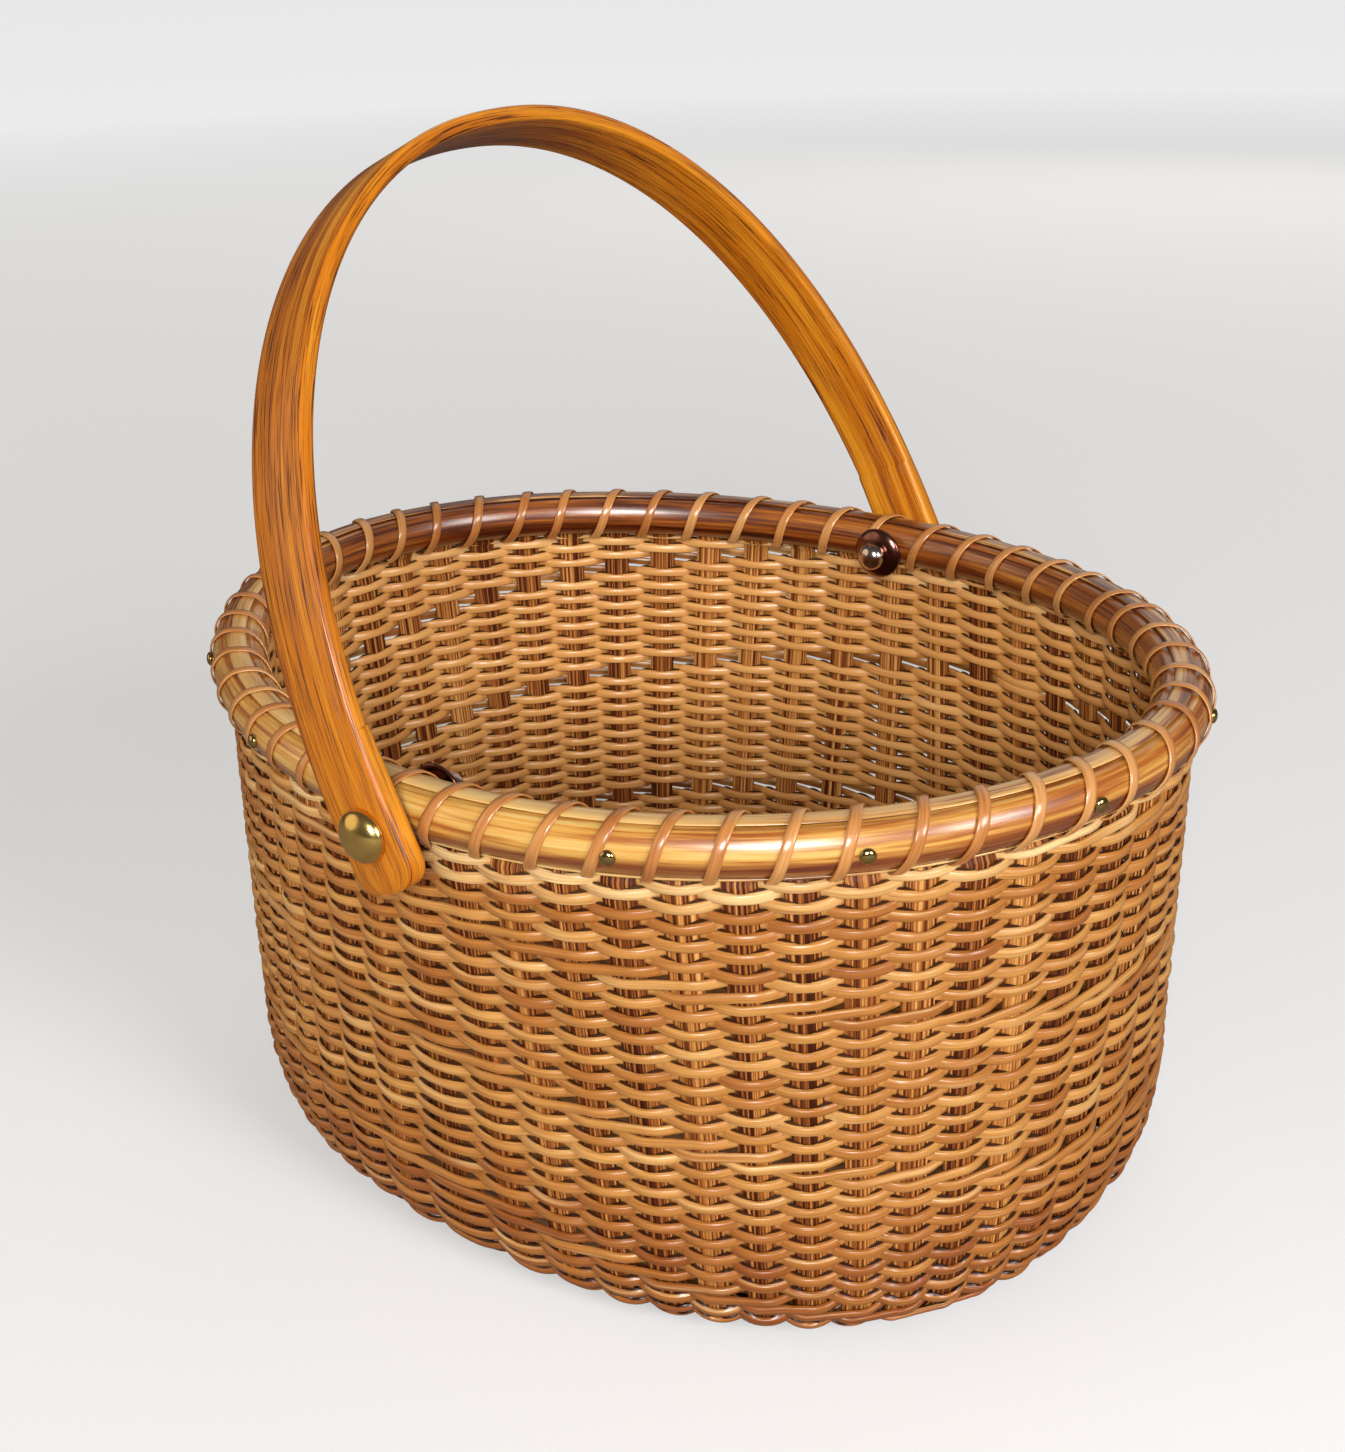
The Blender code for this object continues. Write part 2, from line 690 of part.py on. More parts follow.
def handle_sections():
    """(outer face, inner face, half width, end rounding) from the foot to the crown."""
    half = HANDLE_WIDTH / 2
    sections = []
    for k in range(END_STEPS + 1):
        bend = math.pi / 2 * k / END_STEPS
        rise = HANDLE_END_ROUND * (1 - math.cos(bend)) - HANDLE_BELOW_PIN
        narrow = half - HANDLE_END_ROUND * (1 - math.sin(bend))
        pinch = HANDLE_EDGE_ROUND if k == 0 else 0
        sections.append((*block_faces(rise), narrow, pinch))
    sections.append((*block_faces(0), half, 0))
    sections.append((*block_faces(SHOULDER_ABOVE_PIN - SHOULDER_STEP / 2), half, 0))
    outer, inner = block_faces(SHOULDER_ABOVE_PIN)
    spare = max((outer - inner).length - HANDLE_THICKNESS - SHOULDER_STEP, 0)
    first = math.asin((SHOULDER_ABOVE_PIN / HANDLE_REACH) ** (HANDLE_SQUARENESS / 2))
    for k in range(HANDLE_STEPS + 1):
        bend = first + (math.pi / 2 - first) * (k / HANDLE_STEPS)
        rise = HANDLE_REACH * math.sin(bend) ** (2 / HANDLE_SQUARENESS)
        flare = max(0, 1 - (rise - SHOULDER_ABOVE_PIN) / SHOULDER_FLARE)
        sections.append((*strap_faces(rise, HANDLE_THICKNESS + spare * flare ** 2), half, 0))
    return sections


def rounded_section(outer, inner, half, pinch):
    """Strap section with its four long edges taken off."""
    across = (inner - outer).normalized()
    depth = (inner - outer).length - pinch
    edge = HANDLE_EDGE_ROUND
    corners = [(half - edge, pinch), (half, pinch + edge), (half, depth - edge), (half - edge, depth)]
    corners += [(-x, d) for x, d in reversed(corners)]
    points = []
    for x, d in corners:
        place = outer + across * d
        points.append((x, place.x, place.y))
    return points


def make_handle(parts, bores, wood):
    rows = [rounded_section(*section) for section in handle_sections()]
    bm = loft_bar(rows, cap_end=False)
    for vert in bm.verts:
        if abs(vert.co.y) < MERGE_DISTANCE:
            vert.co.y = 0
    handle = new_piece("handle", finish_mesh(bm, "handle"), parts, wood)
    mirror = handle.modifiers.new("far_side", "MIRROR")
    mirror.use_axis = (False, True, False)
    mirror.merge_threshold = MERGE_DISTANCE
    handle.location.z = PIN_HEIGHT
    handle.rotation_euler.y = math.radians(HANDLE_LEAN_DEGREES)
    cut(handle, bores)


# The whole basket

def make_bores(cutters):
    """Cutter for the pins' and the nails' holes through the rims, the staves and the handle."""
    bores = []
    for side in (1, -1):
        start = Vector((0, side * (HANDLE_OUTER_Y + CUT_OVERRUN), PIN_HEIGHT))
        end = Vector((0, side * (WASHER_Y - CUT_OVERRUN), PIN_HEIGHT))
        bores.append((start, end, PIN_SHANK_RADIUS + FIT_GAP, BORE_SIDES))
    for stave in nail_staves():
        turn = stave_turn(stave)
        start = rim_point(turn, nail_seat() + CUT_OVERRUN, 0)
        end = rim_point(turn, -STAVE_THICKNESS / 2 - NAIL_DEPTH_BEYOND_STAVE - FIT_GAP, 0)
        bores.append((start, end, NAIL_SHANK_RADIUS + FIT_GAP, NAIL_BORE_SIDES))
    return add_bores("bore_cutters", bores, cutters)


def main():
    clear_scene()
    parts = new_collection("nantucket_basket")
    cutters = new_collection("cutters")
    oak = new_material("oak_handle", (0.40, 0.19, 0.06), 0.35)
    base_wood = new_material("base_wood", (0.42, 0.24, 0.10), 0.45)
    rim_wood = new_material("rim_wood", (0.45, 0.23, 0.07), 0.25)
    cane = new_material("woven_cane", (0.62, 0.36, 0.14), 0.40)
    strip = new_material("rim_cane", (0.60, 0.33, 0.12), 0.35)
    wrap = new_material("lashing_cane", (0.66, 0.32, 0.12), 0.30)
    brass = new_material("brass", (0.80, 0.58, 0.20), 0.25, 1.0)
    bronze = new_material("dark_bronze", (0.12, 0.08, 0.07), 0.30, 1.0)

    bores = make_bores(cutters)
    make_base_plate(parts, cutters, base_wood)
    make_woven_wall(parts, bores, cane)
    make_rims(parts, bores, rim_wood)
    make_top_cane(parts, strip)
    make_lower_cane(parts, strip)
    make_lashing(parts, wrap)
    make_nails(parts, brass)
    for place, side in (("front", -1), ("back", 1)):
        make_pin(f"{place}_pin", side, parts, brass)
        make_washer(f"{place}_washer", side, parts, bronze)
        make_cap_nut(f"{place}_cap_nut", side, parts, bronze)
    make_handle(parts, bores, oak)


main()
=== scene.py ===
# Oval lightship basket, strand by strand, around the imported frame.
# Metres, in the frame's axes: +Z up, +X along the basket, the handle's pins along Y.

import math

import bpy
import numpy as np
from mathutils import Matrix, Vector


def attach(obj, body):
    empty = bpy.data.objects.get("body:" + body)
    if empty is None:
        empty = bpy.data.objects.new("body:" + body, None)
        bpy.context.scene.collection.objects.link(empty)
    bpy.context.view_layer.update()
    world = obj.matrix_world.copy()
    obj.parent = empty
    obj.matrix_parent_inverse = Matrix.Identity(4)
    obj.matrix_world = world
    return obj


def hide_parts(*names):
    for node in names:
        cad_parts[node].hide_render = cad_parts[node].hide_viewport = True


MM = 0.001
RANDOM_SEED = 11

# The oval, measured at the middle of the rim's section
HALF_LENGTH = 0.105
HALF_WIDTH = 0.0859
RIM_POWER = 1.95
BASE_POWER = 2.35
RIM_Z = 0.107
RIM_SWEEP = 0.0016
FRONT_TURN = -math.pi / 2

# Staves: their places along the rim, and their section
STAVES = 54
FRONT_CROWDING = 0.0143
END_CROWDING = 0.0038
STAVE_WIDTH = 0.0064
STAVE_FOOT_WIDTH = 0.0056
STAVE_THICK = 0.0016
STAVE_TAPER_LENGTH = 0.11
STAVE_EDGE = 0.45
STAVE_CROWN_POWER = 2.5
STAVE_RIDGES = 0.16
STAVE_POINTS = 17
STAVE_SHARP = 50
# Stations of a stave's head (out, up, from the rim), then arcs down its blade and bend (from, to,
# count) and its foot
STAVE_HEAD = ((0, 0.0039), (0, -0.0057), (0.0003, -0.0063), (0.0007, -0.0069))
STAVE_BLADE = (0, 0.0705, 14)
STAVE_BEND = (0.0735, 0.0987, 14)
STAVE_FOOT = (0.1015, 0.1045)
STAVE_TONES = (-0.5, 0.9)
STAVE_SEED_STEP = 3.7

# Middle surface of the wall
WALL_TOP = 0.0997
WALL_OUT = 0.0009
WALL_TAPER = 0.0035
CORNER_TOP = 0.02985
CORNER_HEIGHT = 0.0266
CORNER_REACH = 0.0076
FOOT_Z = 0.00325
FOOT_RUN = 0.0035
SLOT_RUN = 0.0058
STRAIGHT_SHARE = 0.7066
ABOVE_WALL = -0.06
WALL_STEPS = 80
CORNER_STEPS = 60
FOOT_STEPS = 12
SLOPE_STEP = 0.3 * MM

# Weaver: one strand that winds up from the base's edge, over one stave and under the next
ROUNDS = 53
WEAVE_TOP_ARC = -0.0011
WEAVE_LOW_ARC = 0.1012
WEAVE_PITCH = (WEAVE_LOW_ARC - WEAVE_TOP_ARC) / (ROUNDS - 1)
PASS_POINTS = 10
STRAND_THICK = 0.00115
STRAND_SWING = 0.00126
STRAND_FILL = 0.51
MIN_STRAND_WIDTH = 0.3 * MM
END_THICK = 0.3
END_SWING = 0.2
# Half width along the wall and half thickness out of it
CANE_SECTION = np.array([
    (-1, -0.30), (-1, 0.30), (-0.94, 0.58), (-0.78, 0.82), (0, 1), (0.78, 0.82), (0.94, 0.58),
    (1, 0.30), (1, -0.30), (0.94, -0.58), (0.78, -0.82), (0, -1), (-0.78, -0.82), (-0.94, -0.58),
])
SECTION_DEPTH = 0.25
# From over a stave to the middle of the gap: how far out the strand lies
CROSSING_PLACES = (0, 0.1, 0.2, 0.3, 0.4, 0.5)
CROSSING_SHARES = (1.10, 1.06, 0.94, 0.72, 0.39, 0)
# The strand's lip of painted shade: its hidden side's upper edge is drawn up to the strand above
LIP = 0.0008
LIP_SHARES = (0, 0, 0.6, 1, 0.8, 0.2)
LIP_EDGE = -0.9
# How dark the lip is painted, as shade in the gaps between strands
LIP_PAINTED_SHADE = 3
# Floats over two staves, and the gaps that they open
FLOAT_ROUND = 41
FLOAT_STAVE = 5
FLOAT_STEPS = (17, 17, 19)
FLOAT_SAG = 0.10
FLOAT_PUSH = 0.00040
FLOAT_PUSH_FADE = 0.68
FLOAT_PUSH_ROWS = 5
OPEN_LINE_PUSH = 0.9 * FLOAT_PUSH
# Unevenness of a hand-woven strand
REACH_SPREAD = 0.07
DRIFT_SPREAD = 0.07 * MM
ROLL_SPREAD = math.radians(5)
SWELL = 1.01
SWELL_SPREAD = 0.05
SWELL_PINCH = 0.08
SWELL_PASSES = 5
CANE_SEED_PASSES = 220
CANE_SEEDS = 40
# Tone of the cane, from dark at 0 to pale at 1
CANE_TONE = 0.47
CANE_LENGTH_TONE = 0.20
CANE_LENGTH_PASSES = 60
CANE_PATCH_TONE = 0.13
CANE_PATCH_PASSES = 7
STITCH_TONE = 0.13
PALE_TOP = 0.46
PALE_TOP_START = 0.935
PALE_TOP_FADE = 0.03
DARK_FOOT = 0.48
DARK_FOOT_SHARE = 0.5

# Rims and the strips on them
RIM_RADIUS = 0.0055
RIM_FLAT = 0.0009
RIM_FLAT_TOP = 0.0045
RIM_FLAT_LOW = 0.0046
TOP_CANE = (0.0020, 0.0048, 0.0054)
LOWER_CANE = (0.0009, 0.0023, -0.0056, -0.0049)
RIM_STATIONS_PER_STAVE = 5
RIM_BENDS = 17
RIM_SHARP = 40
STRIP_WANDER = 0.05 * MM
WANDER_WAVES = (9, 4)
# Tone of the rims, painted light and shade: paler at the front, darker at the back and at the ends
RIM_TONE = 0.10
RIM_PAINTED_LIGHT_FRONT = 1.2
RIM_PAINTED_LIGHT_TURN = 1.45
RIM_PAINTED_SHADE_ENDS = 0.40

# Lashing: its loop round the rims (out, up) in millimetres, and its section
LASHING_WIDTH = 0.0022
LASHING_THICK = 0.0004
LASHING_LOOP = (
    (2.60, -6.15), (4.35, -4.31), (5.90, -1.63), (5.95, 1.43), (4.55, 4.15), (2.1, 5.85),
    (-2.1, 5.85), (-4.55, 4.15), (-5.95, 1.43), (-5.90, -1.63), (-4.35, -4.31), (-2.60, -6.15),
)
LASHING_SECTION = np.array([
    (-1, -0.5), (-0.97, 0.35), (-0.55, 0.9), (0, 1.05), (0.55, 0.9), (0.97, 0.35), (1, -0.5),
    (0.85, -1), (-0.85, -1),
])
LASHING_LEAN = 0.10
LASHING_SWELL = 0.06
LASHING_SWELL_POINTS = 40
LASHING_TONE = 0.5
LASHING_LENGTH_TONE = 0.35
LASHING_LENGTH_POINTS = 48
LASHING_PATCH_TONE = 0.15
LASHING_PATCH_POINTS = 11
LASHING_SEED_POINTS = 300
LASHING_SEEDS = 30
TURN_AHEAD = 0.001

# Handle
PIN_Z = 0.1039
LEAN = math.radians(-25.4)
HOOP_REACH = 0.1187
HOOP_POWER = 2.15
HOOP_LINE = 0.095887
HOOP_INNER = 0.092987
STRAP_WIDTH = 0.0152
STRAP_THICK = 0.0034
STRAP_EDGE = 0.0009
SHOULDER_RISE = 0.0178
SHOULDER_STEP = 0.0008
SHOULDER_FLARE = 0.022
FOOT_DROP = 0.0115
FOOT_ROUND = 0.005
FOOT_BENDS = 10
BLOCK_STEPS = 14
HOOP_STEPS = 60
HANDLE_SHARP = 35
# Corners of the strap's section: side across, 1 for the inner face, and the first angle in degrees
STRAP_CORNERS = ((-1, 0, 180), (1, 0, 270), (1, 1, 0), (-1, 1, 90))
STRAP_CORNER_TURNS = (0, 30, 60, 90)

# Metal fittings. A cap is (radius, height, base), and the rest are profiles of (radius, height)
NAIL_CAP = (0.0015, 0.00085, 0.00012)
NAIL_SHANK = [(0.0015, 0), (0.0005, -0.0001), (0.0005, -0.0072), (0, -0.0082)]
NAIL_STAND = 0.0003
NAIL_SPACING = 4
NAIL_STEPS = 24
FITTING_STEPS = 48
MERGE_DISTANCE = 0.00001
PIN_CAP = (0.0052, 0.0029, 0.0002)
PIN_SHANK = [(0.0052, 0.0), (0.0016, 0.0), (0.0016, -0.02297), (0, -0.02297)]
PIN_HEAD_Y = 0.09789
WASHER = [
    (0.0019, 0.0019), (0.0033, 0.0019), (0.0048, 0.0014), (0.0060, 0.00085), (0.0061, 0.0006),
    (0.0061, 0.0001), (0.0058, 0.0), (0.0046, 0.0005), (0.0033, 0.0011), (0.0019, 0.0011),
    (0.0019, 0.0019),
]
WASHER_Y = 0.07901
NUT_CAP = (0.0033, 0.0024, 0.0014)
NUT_BODY = [(0.0033, 0.0002), (0.0031, 0.0), (0.0019, 0), (0.0019, 0.0022), (0, 0.0022)]
NUT_Y = 0.07681

# Metals: name, colour, tarnished colour and roughness
METALS = (
    ("brass", (0.87, 0.60, 0.19), (0.70, 0.44, 0.12), 0.14),
    # The nails' brass, painted dark as a reflection of dark surroundings
    ("brass_painted_dark", (0.46, 0.34, 0.12), (0.20, 0.13, 0.05), 0.13),
    ("dark_bronze", (0.26, 0.11, 0.08), (0.13, 0.05, 0.04), 0.14),
    ("worn_nickel", (0.66, 0.56, 0.52), (0.34, 0.22, 0.18), 0.10),
)

# Stage: the floor, and the world's strength for the surfaces, for reflections and for the camera
FLOOR_REACH = 30.0
FLOOR_DROP = 0.0003
WORLD_FILL = 0.15
WORLD_REFLECTED = 0.10
WORLD_SEEN = 0.95

# Lamps: name, place, size, power and colour
LAMP_TARGET = (0, 0, 0.08)
LAMPS = (
    ("key", (0.66, -1.00, 0.66), 0.46, 16, (1, 1, 1)),
    ("right", (1.20, -0.25, 0.60), 0.50, 9, (1, 1, 1)),
    ("left", (-0.90, -0.80, 0.50), 1.10, 3, (1, 0.84, 0.62)),
    ("back", (-0.3, 1.1, 0.8), 1.5, 2.8, (1, 0.90, 0.78)),
)

# Camera, about the middle of the rim. Its lens and shift are in pixels of the photograph, whose
# longer side is PHOTO_SIDE
CAMERA_AZIMUTH = 0.636
CAMERA_ELEVATION = 0.381
CAMERA_DISTANCE = 0.404972
CAMERA_ROLL = -0.029
CAMERA_FOCAL = 1899.572
CAMERA_SHIFT = (-17.117, -83.227)
PHOTO_SIDE = 1452
SENSOR = 36
CLIP_START = 0.01


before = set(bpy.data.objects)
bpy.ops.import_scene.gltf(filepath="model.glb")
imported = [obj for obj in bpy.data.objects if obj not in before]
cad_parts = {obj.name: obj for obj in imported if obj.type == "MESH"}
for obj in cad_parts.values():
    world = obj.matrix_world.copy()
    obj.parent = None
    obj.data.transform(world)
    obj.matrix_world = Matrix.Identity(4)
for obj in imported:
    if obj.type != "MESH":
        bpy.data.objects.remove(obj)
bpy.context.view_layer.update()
rng = np.random.default_rng(RANDOM_SEED)


# Places on the basket

def oval(turn, half_length, half_width, power):
    c, s = np.cos(turn), np.sin(turn)
    x = np.sign(c) * np.abs(c) ** (2 / power) * half_length
    y = np.sign(s) * np.abs(s) ** (2 / power) * half_width
    return x, y


def oval_outward(x, y, half_length, half_width, power):
    nx = np.sign(x) * np.abs(x / half_length) ** (power - 1) / half_length
    ny = np.sign(y) * np.abs(y / half_width) ** (power - 1) / half_width
    size = np.hypot(nx, ny)
    return nx / size, ny / size


def rim_table(samples=4001):
    turns = np.linspace(FRONT_TURN, FRONT_TURN + 2 * math.pi, samples)
    x, y = oval(turns, HALF_LENGTH, HALF_WIDTH, RIM_POWER)
    length = np.concatenate([[0], np.cumsum(np.hypot(np.diff(x), np.diff(y)))])
    return turns, length / length[-1], length[-1]


RIM_TURNS, RIM_SHARES, RIM_LENGTH = rim_table()


def stave_share(stave):
    """Share of the way round the rim at a stave: closer at the front and ends, wider at the back."""
    turn = 2 * math.pi * stave / STAVES
    return stave / STAVES + END_CROWDING * np.sin(2 * turn) - FRONT_CROWDING * np.sin(turn)


def stave_turn(stave):
    """Turn of the oval at a stave, halves being the gaps, running on past a full turn."""
    share = stave_share(np.asarray(stave, float))
    laps = np.floor(share)
    return np.interp(share - laps, RIM_SHARES, RIM_TURNS) + 2 * math.pi * laps


def rim_place(turn, out, up):
    """Point beside the middle of the rim's section, which rises at the ends and dips at the pins."""
    x, y = oval(turn, HALF_LENGTH, HALF_WIDTH, RIM_POWER)
    nx, ny = oval_outward(x, y, HALF_LENGTH, HALF_WIDTH, RIM_POWER)
    return np.stack([x + nx * out, y + ny * out, RIM_Z + RIM_SWEEP * np.cos(2 * turn) + up], -1)


def wall_table():
    """Arc length down the wall's middle from the weave's top, with its inset, height and share."""
    down = np.linspace(ABOVE_WALL, 1, WALL_STEPS)
    bend = np.linspace(0, math.pi / 2, CORNER_STEPS)[1:]
    foot = np.linspace(0, FOOT_RUN + SLOT_RUN, FOOT_STEPS)[1:]
    inset = np.concatenate([
        WALL_TAPER * down,
        WALL_TAPER + CORNER_REACH * (1 - np.cos(bend)),
        WALL_TAPER + CORNER_REACH + foot,
    ]) - WALL_OUT
    height = np.concatenate([
        WALL_TOP + (CORNER_TOP - WALL_TOP) * down,
        CORNER_TOP - CORNER_HEIGHT * np.sin(bend),
        FOOT_Z + 0 * foot,
    ])
    share = np.concatenate([
        STRAIGHT_SHARE * np.maximum(down, 0),
        STRAIGHT_SHARE + (1 - STRAIGHT_SHARE) * np.sin(bend),
        1 + 0 * foot,
    ])
    arc = np.concatenate([[0], np.cumsum(np.hypot(np.diff(inset), np.diff(height)))])
    return arc - np.interp(-WALL_TOP, -height, arc), inset, height, share


WALL_ARC, WALL_INSET, WALL_HEIGHT, WALL_SHARE = wall_table()


def wall_place(turn, arc):
    """Points on the wall's middle surface and the directions out of it."""
    inset = np.interp(arc, WALL_ARC, WALL_INSET)
    share = np.interp(arc, WALL_ARC, WALL_SHARE)
    power = RIM_POWER + (BASE_POWER - RIM_POWER) * share
    lift = RIM_SWEEP * np.cos(2 * turn) * (1 - share)
    length, width = HALF_LENGTH - inset, HALF_WIDTH - inset
    x, y = oval(turn, length, width, power)
    level_x, level_y = oval_outward(x, y, length, width, power)
    above, below = arc - SLOPE_STEP, arc + SLOPE_STEP
    fall_in = np.interp(below, WALL_ARC, WALL_INSET) - np.interp(above, WALL_ARC, WALL_INSET)
    fall = np.interp(above, WALL_ARC, WALL_HEIGHT) - np.interp(below, WALL_ARC, WALL_HEIGHT)
    size = np.hypot(fall_in, fall)
    level, dip = fall / size, fall_in / size
    place = np.stack([x, y, np.interp(arc, WALL_ARC, WALL_HEIGHT) + lift], -1)
    outward = np.stack([level_x * level, level_y * level, -dip], -1)
    return place, outward


# Meshes

def unit(v):
    return v / np.linalg.norm(v, axis=-1, keepdims=True)


def soften(points, times=1, closed=True):
    """Corner cutting: each corner becomes two points, a quarter in from its neighbours."""
    points = np.asarray(points, float)
    for _ in range(times):
        after = np.roll(points, -1, axis=0) if closed else points[1:]
        here = points if closed else points[:-1]
        cut = np.stack([here * 0.75 + after * 0.25, here * 0.25 + after * 0.75], 1)
        cut = cut.reshape(-1, points.shape[1])
        points = cut if closed else np.concatenate([points[:1], cut, points[-1:]])
    return points


def swept(name, rings, along, around, material, closed=False, sharp=None, attributes=None):
    """Piece from rings of section points. The map "grain" runs in metres along and around it."""
    count, sides = rings.shape[:2]
    rows = count if closed else count - 1
    i, j = np.meshgrid(np.arange(rows), np.arange(sides), indexing="ij")
    after, beside = (i + 1) % count, (j + 1) % sides
    ahead = after * sides
    quads = np.stack([i * sides + j, i * sides + beside, ahead + beside, ahead + j], -1)
    grain = np.stack([
        np.stack([along[i], along[i], along[i + 1], along[i + 1]], -1),
        np.stack([around[j], around[j + 1], around[j + 1], around[j]], -1),
    ], -1)
    verts = rings.reshape(-1, 3)
    quads, grain = quads.reshape(-1, 4), grain.reshape(-1, 4, 2)
    a, b, c, d = (verts[quads[:, k]] for k in range(4))
    volume = np.einsum("ij,ij->", a, np.cross(b, c)) + np.einsum("ij,ij->", a, np.cross(c, d))
    first, last = list(range(sides)), list(range((count - 1) * sides, count * sides))
    caps = [] if closed else [first[::-1], last]
    if volume < 0:
        quads, grain = quads[:, ::-1], grain[:, ::-1]
        caps = [cap[::-1] for cap in caps]
    mesh = bpy.data.meshes.new(name)
    mesh.from_pydata(verts.tolist(), [], quads.tolist() + caps)
    corners = np.concatenate([grain.reshape(-1, 2), np.zeros((len(caps) * sides, 2))])
    mesh.uv_layers.new(name="grain").data.foreach_set("uv", corners.ravel())
    for key, values in (attributes or {}).items():
        values = np.asarray(values, float)
        spread = np.broadcast_to(values[:, None] if values.ndim == 1 else values, (count, sides))
        mesh.attributes.new(key, "FLOAT", "POINT").data.foreach_set("value", spread.ravel())
    mesh.shade_smooth()
    if sharp is not None:
        mesh.set_sharp_from_angle(angle=math.radians(sharp))
    return add_piece(name, mesh, material)


def add_piece(name, mesh, material):
    piece = bpy.data.objects.new(name, mesh)
    bpy.context.scene.collection.objects.link(piece)
    mesh.materials.append(material)
    return piece


def lengths(points):
    return np.concatenate([[0], np.cumsum(np.linalg.norm(np.diff(points, axis=0), axis=-1))])


def girth(section):
    """Length around a closed section, at each of its points and back at the first."""
    return lengths(np.concatenate([section, section[:1]]))


def section_rings(path, side, normal, section, half_width, half_thick):
    """A section of (across, out) set on each point of a path, for swept."""
    half_width = np.broadcast_to(half_width, len(path))[:, None, None]
    half_thick = np.broadcast_to(half_thick, len(path))[:, None, None]
    across, out = section[None, :, :1], section[None, :, 1:]
    return path[:, None] + side[:, None] * across * half_width + normal[:, None] * out * half_thick


def square_to(directions, tangent):
    """Directions turned square to a path's tangent."""
    return unit(directions - tangent * np.sum(directions * tangent, -1, keepdims=True))


def smooth_noise(count, knots, low=-1.0, high=1.0):
    """Seeded values that change smoothly, one new knot at every so many steps."""
    places = np.arange(0, count + 2 * knots, knots)
    values = rng.uniform(low, high, len(places))
    x = np.arange(count) / knots
    whole = x.astype(int)
    t = x - whole
    t = t * t * (3 - 2 * t)
    return values[whole] * (1 - t) + values[whole + 1] * t


def keep_place(piece, body, node):
    """Hang a piece on the body that carries it, and hide the CAD node that it stands for."""
    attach(piece, body)
    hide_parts(node)


# Materials

class Shading:
    """A Principled material whose colour, roughness and bump come from its nodes."""

    def __init__(self, name, roughness=0.4, metallic=0.0, coat=0.0, coat_roughness=0.1, specular=0.5):
        self.material = bpy.data.materials.new(name)
        self.material.use_nodes = True
        self.tree = self.material.node_tree
        self.shader = self.tree.nodes["Principled BSDF"]
        for key, value in (("Roughness", roughness), ("Metallic", metallic), ("Coat Weight", coat),
                           ("Coat Roughness", coat_roughness), ("Specular IOR Level", specular)):
            self.shader.inputs[key].default_value = value

    def node(self, kind, inputs=(), **settings):
        made = self.tree.nodes.new("ShaderNode" + kind)
        for key, value in settings.items():
            setattr(made, key, value)
        for key, value in dict(inputs).items():
            if isinstance(value, bpy.types.NodeSocket):
                self.tree.links.new(value, made.inputs[key])
            else:
                made.inputs[key].default_value = value
        return made

    def math(self, operation, a, b):
        return self.node("Math", {0: a, 1: b}, operation=operation).outputs[0]

    def attribute(self, name):
        return self.node("Attribute", attribute_name=name).outputs["Fac"]

    def grain(self, along, around, seed=0.0):
        """The grain map stretched: cycles a metre along and around the fibres."""
        split = self.node("SeparateXYZ", {0: self.node("UVMap", uv_map="grain").outputs[0]})
        u = self.math("MULTIPLY", split.outputs[0], along)
        v = self.math("MULTIPLY", split.outputs[1], around)
        return self.node("CombineXYZ", {0: u, 1: v, 2: seed}).outputs[0]

    def noise(self, vector, detail, roughness=0.5, scale=1.0, distortion=0.0):
        sockets = {"Vector": vector, "Scale": scale, "Detail": detail, "Roughness": roughness,
                   "Distortion": distortion}
        return self.node("TexNoise", sockets).outputs["Fac"]

    def ramp(self, factor, stops):
        """Colour of a factor, from stops of (place, colour)."""
        made = self.node("ValToRGB", {0: factor})
        elements = made.color_ramp.elements
        while len(elements) < len(stops):
            elements.new(1.0)
        for element, (place, colour) in zip(elements, stops):
            element.position = place
            element.color = (*colour, 1.0)
        return made.outputs["Color"]

    def level(self, factor, low, high, to_low=0.0, to_high=1.0):
        """A factor's stretch from low to high, run from to_low to to_high and held beyond it."""
        sockets = {"Value": factor, "From Min": low, "From Max": high,
                   "To Min": to_low, "To Max": to_high}
        return self.node("MapRange", sockets).outputs[0]

    def weighted(self, *parts):
        """Factors added up, each given with its weight."""
        total = None
        for factor, weight in parts:
            part = self.math("MULTIPLY", factor, weight)
            total = part if total is None else self.math("ADD", total, part)
        return total

    def mix(self, factor, a, b, blend="MIX"):
        made = self.node("Mix", data_type="RGBA", blend_type=blend)
        for index, value in ((0, factor), (6, a), (7, b)):
            if isinstance(value, bpy.types.NodeSocket):
                self.tree.links.new(value, made.inputs[index])
            elif index:
                made.inputs[index].default_value = (*value, 1.0)
            else:
                made.inputs[index].default_value = value
        return made.outputs[2]

    def tint(self, colour, by):
        return self.mix(1.0, colour, by, "MULTIPLY")

    def bump(self, height, distance, strength):
        made = self.node("Bump", {"Height": height, "Distance": distance, "Strength": strength})
        self.tree.links.new(made.outputs[0], self.shader.inputs["Normal"])

    def drive(self, socket, value):
        """Link a value that changes over the surface to one of the shader's sockets."""
        self.tree.links.new(value, self.shader.inputs[socket])

    def finish(self, colour, roughness=None):
        self.tree.links.new(colour, self.shader.inputs["Base Color"])
        if roughness is not None:
            self.tree.links.new(roughness, self.shader.inputs["Roughness"])
        return self.material


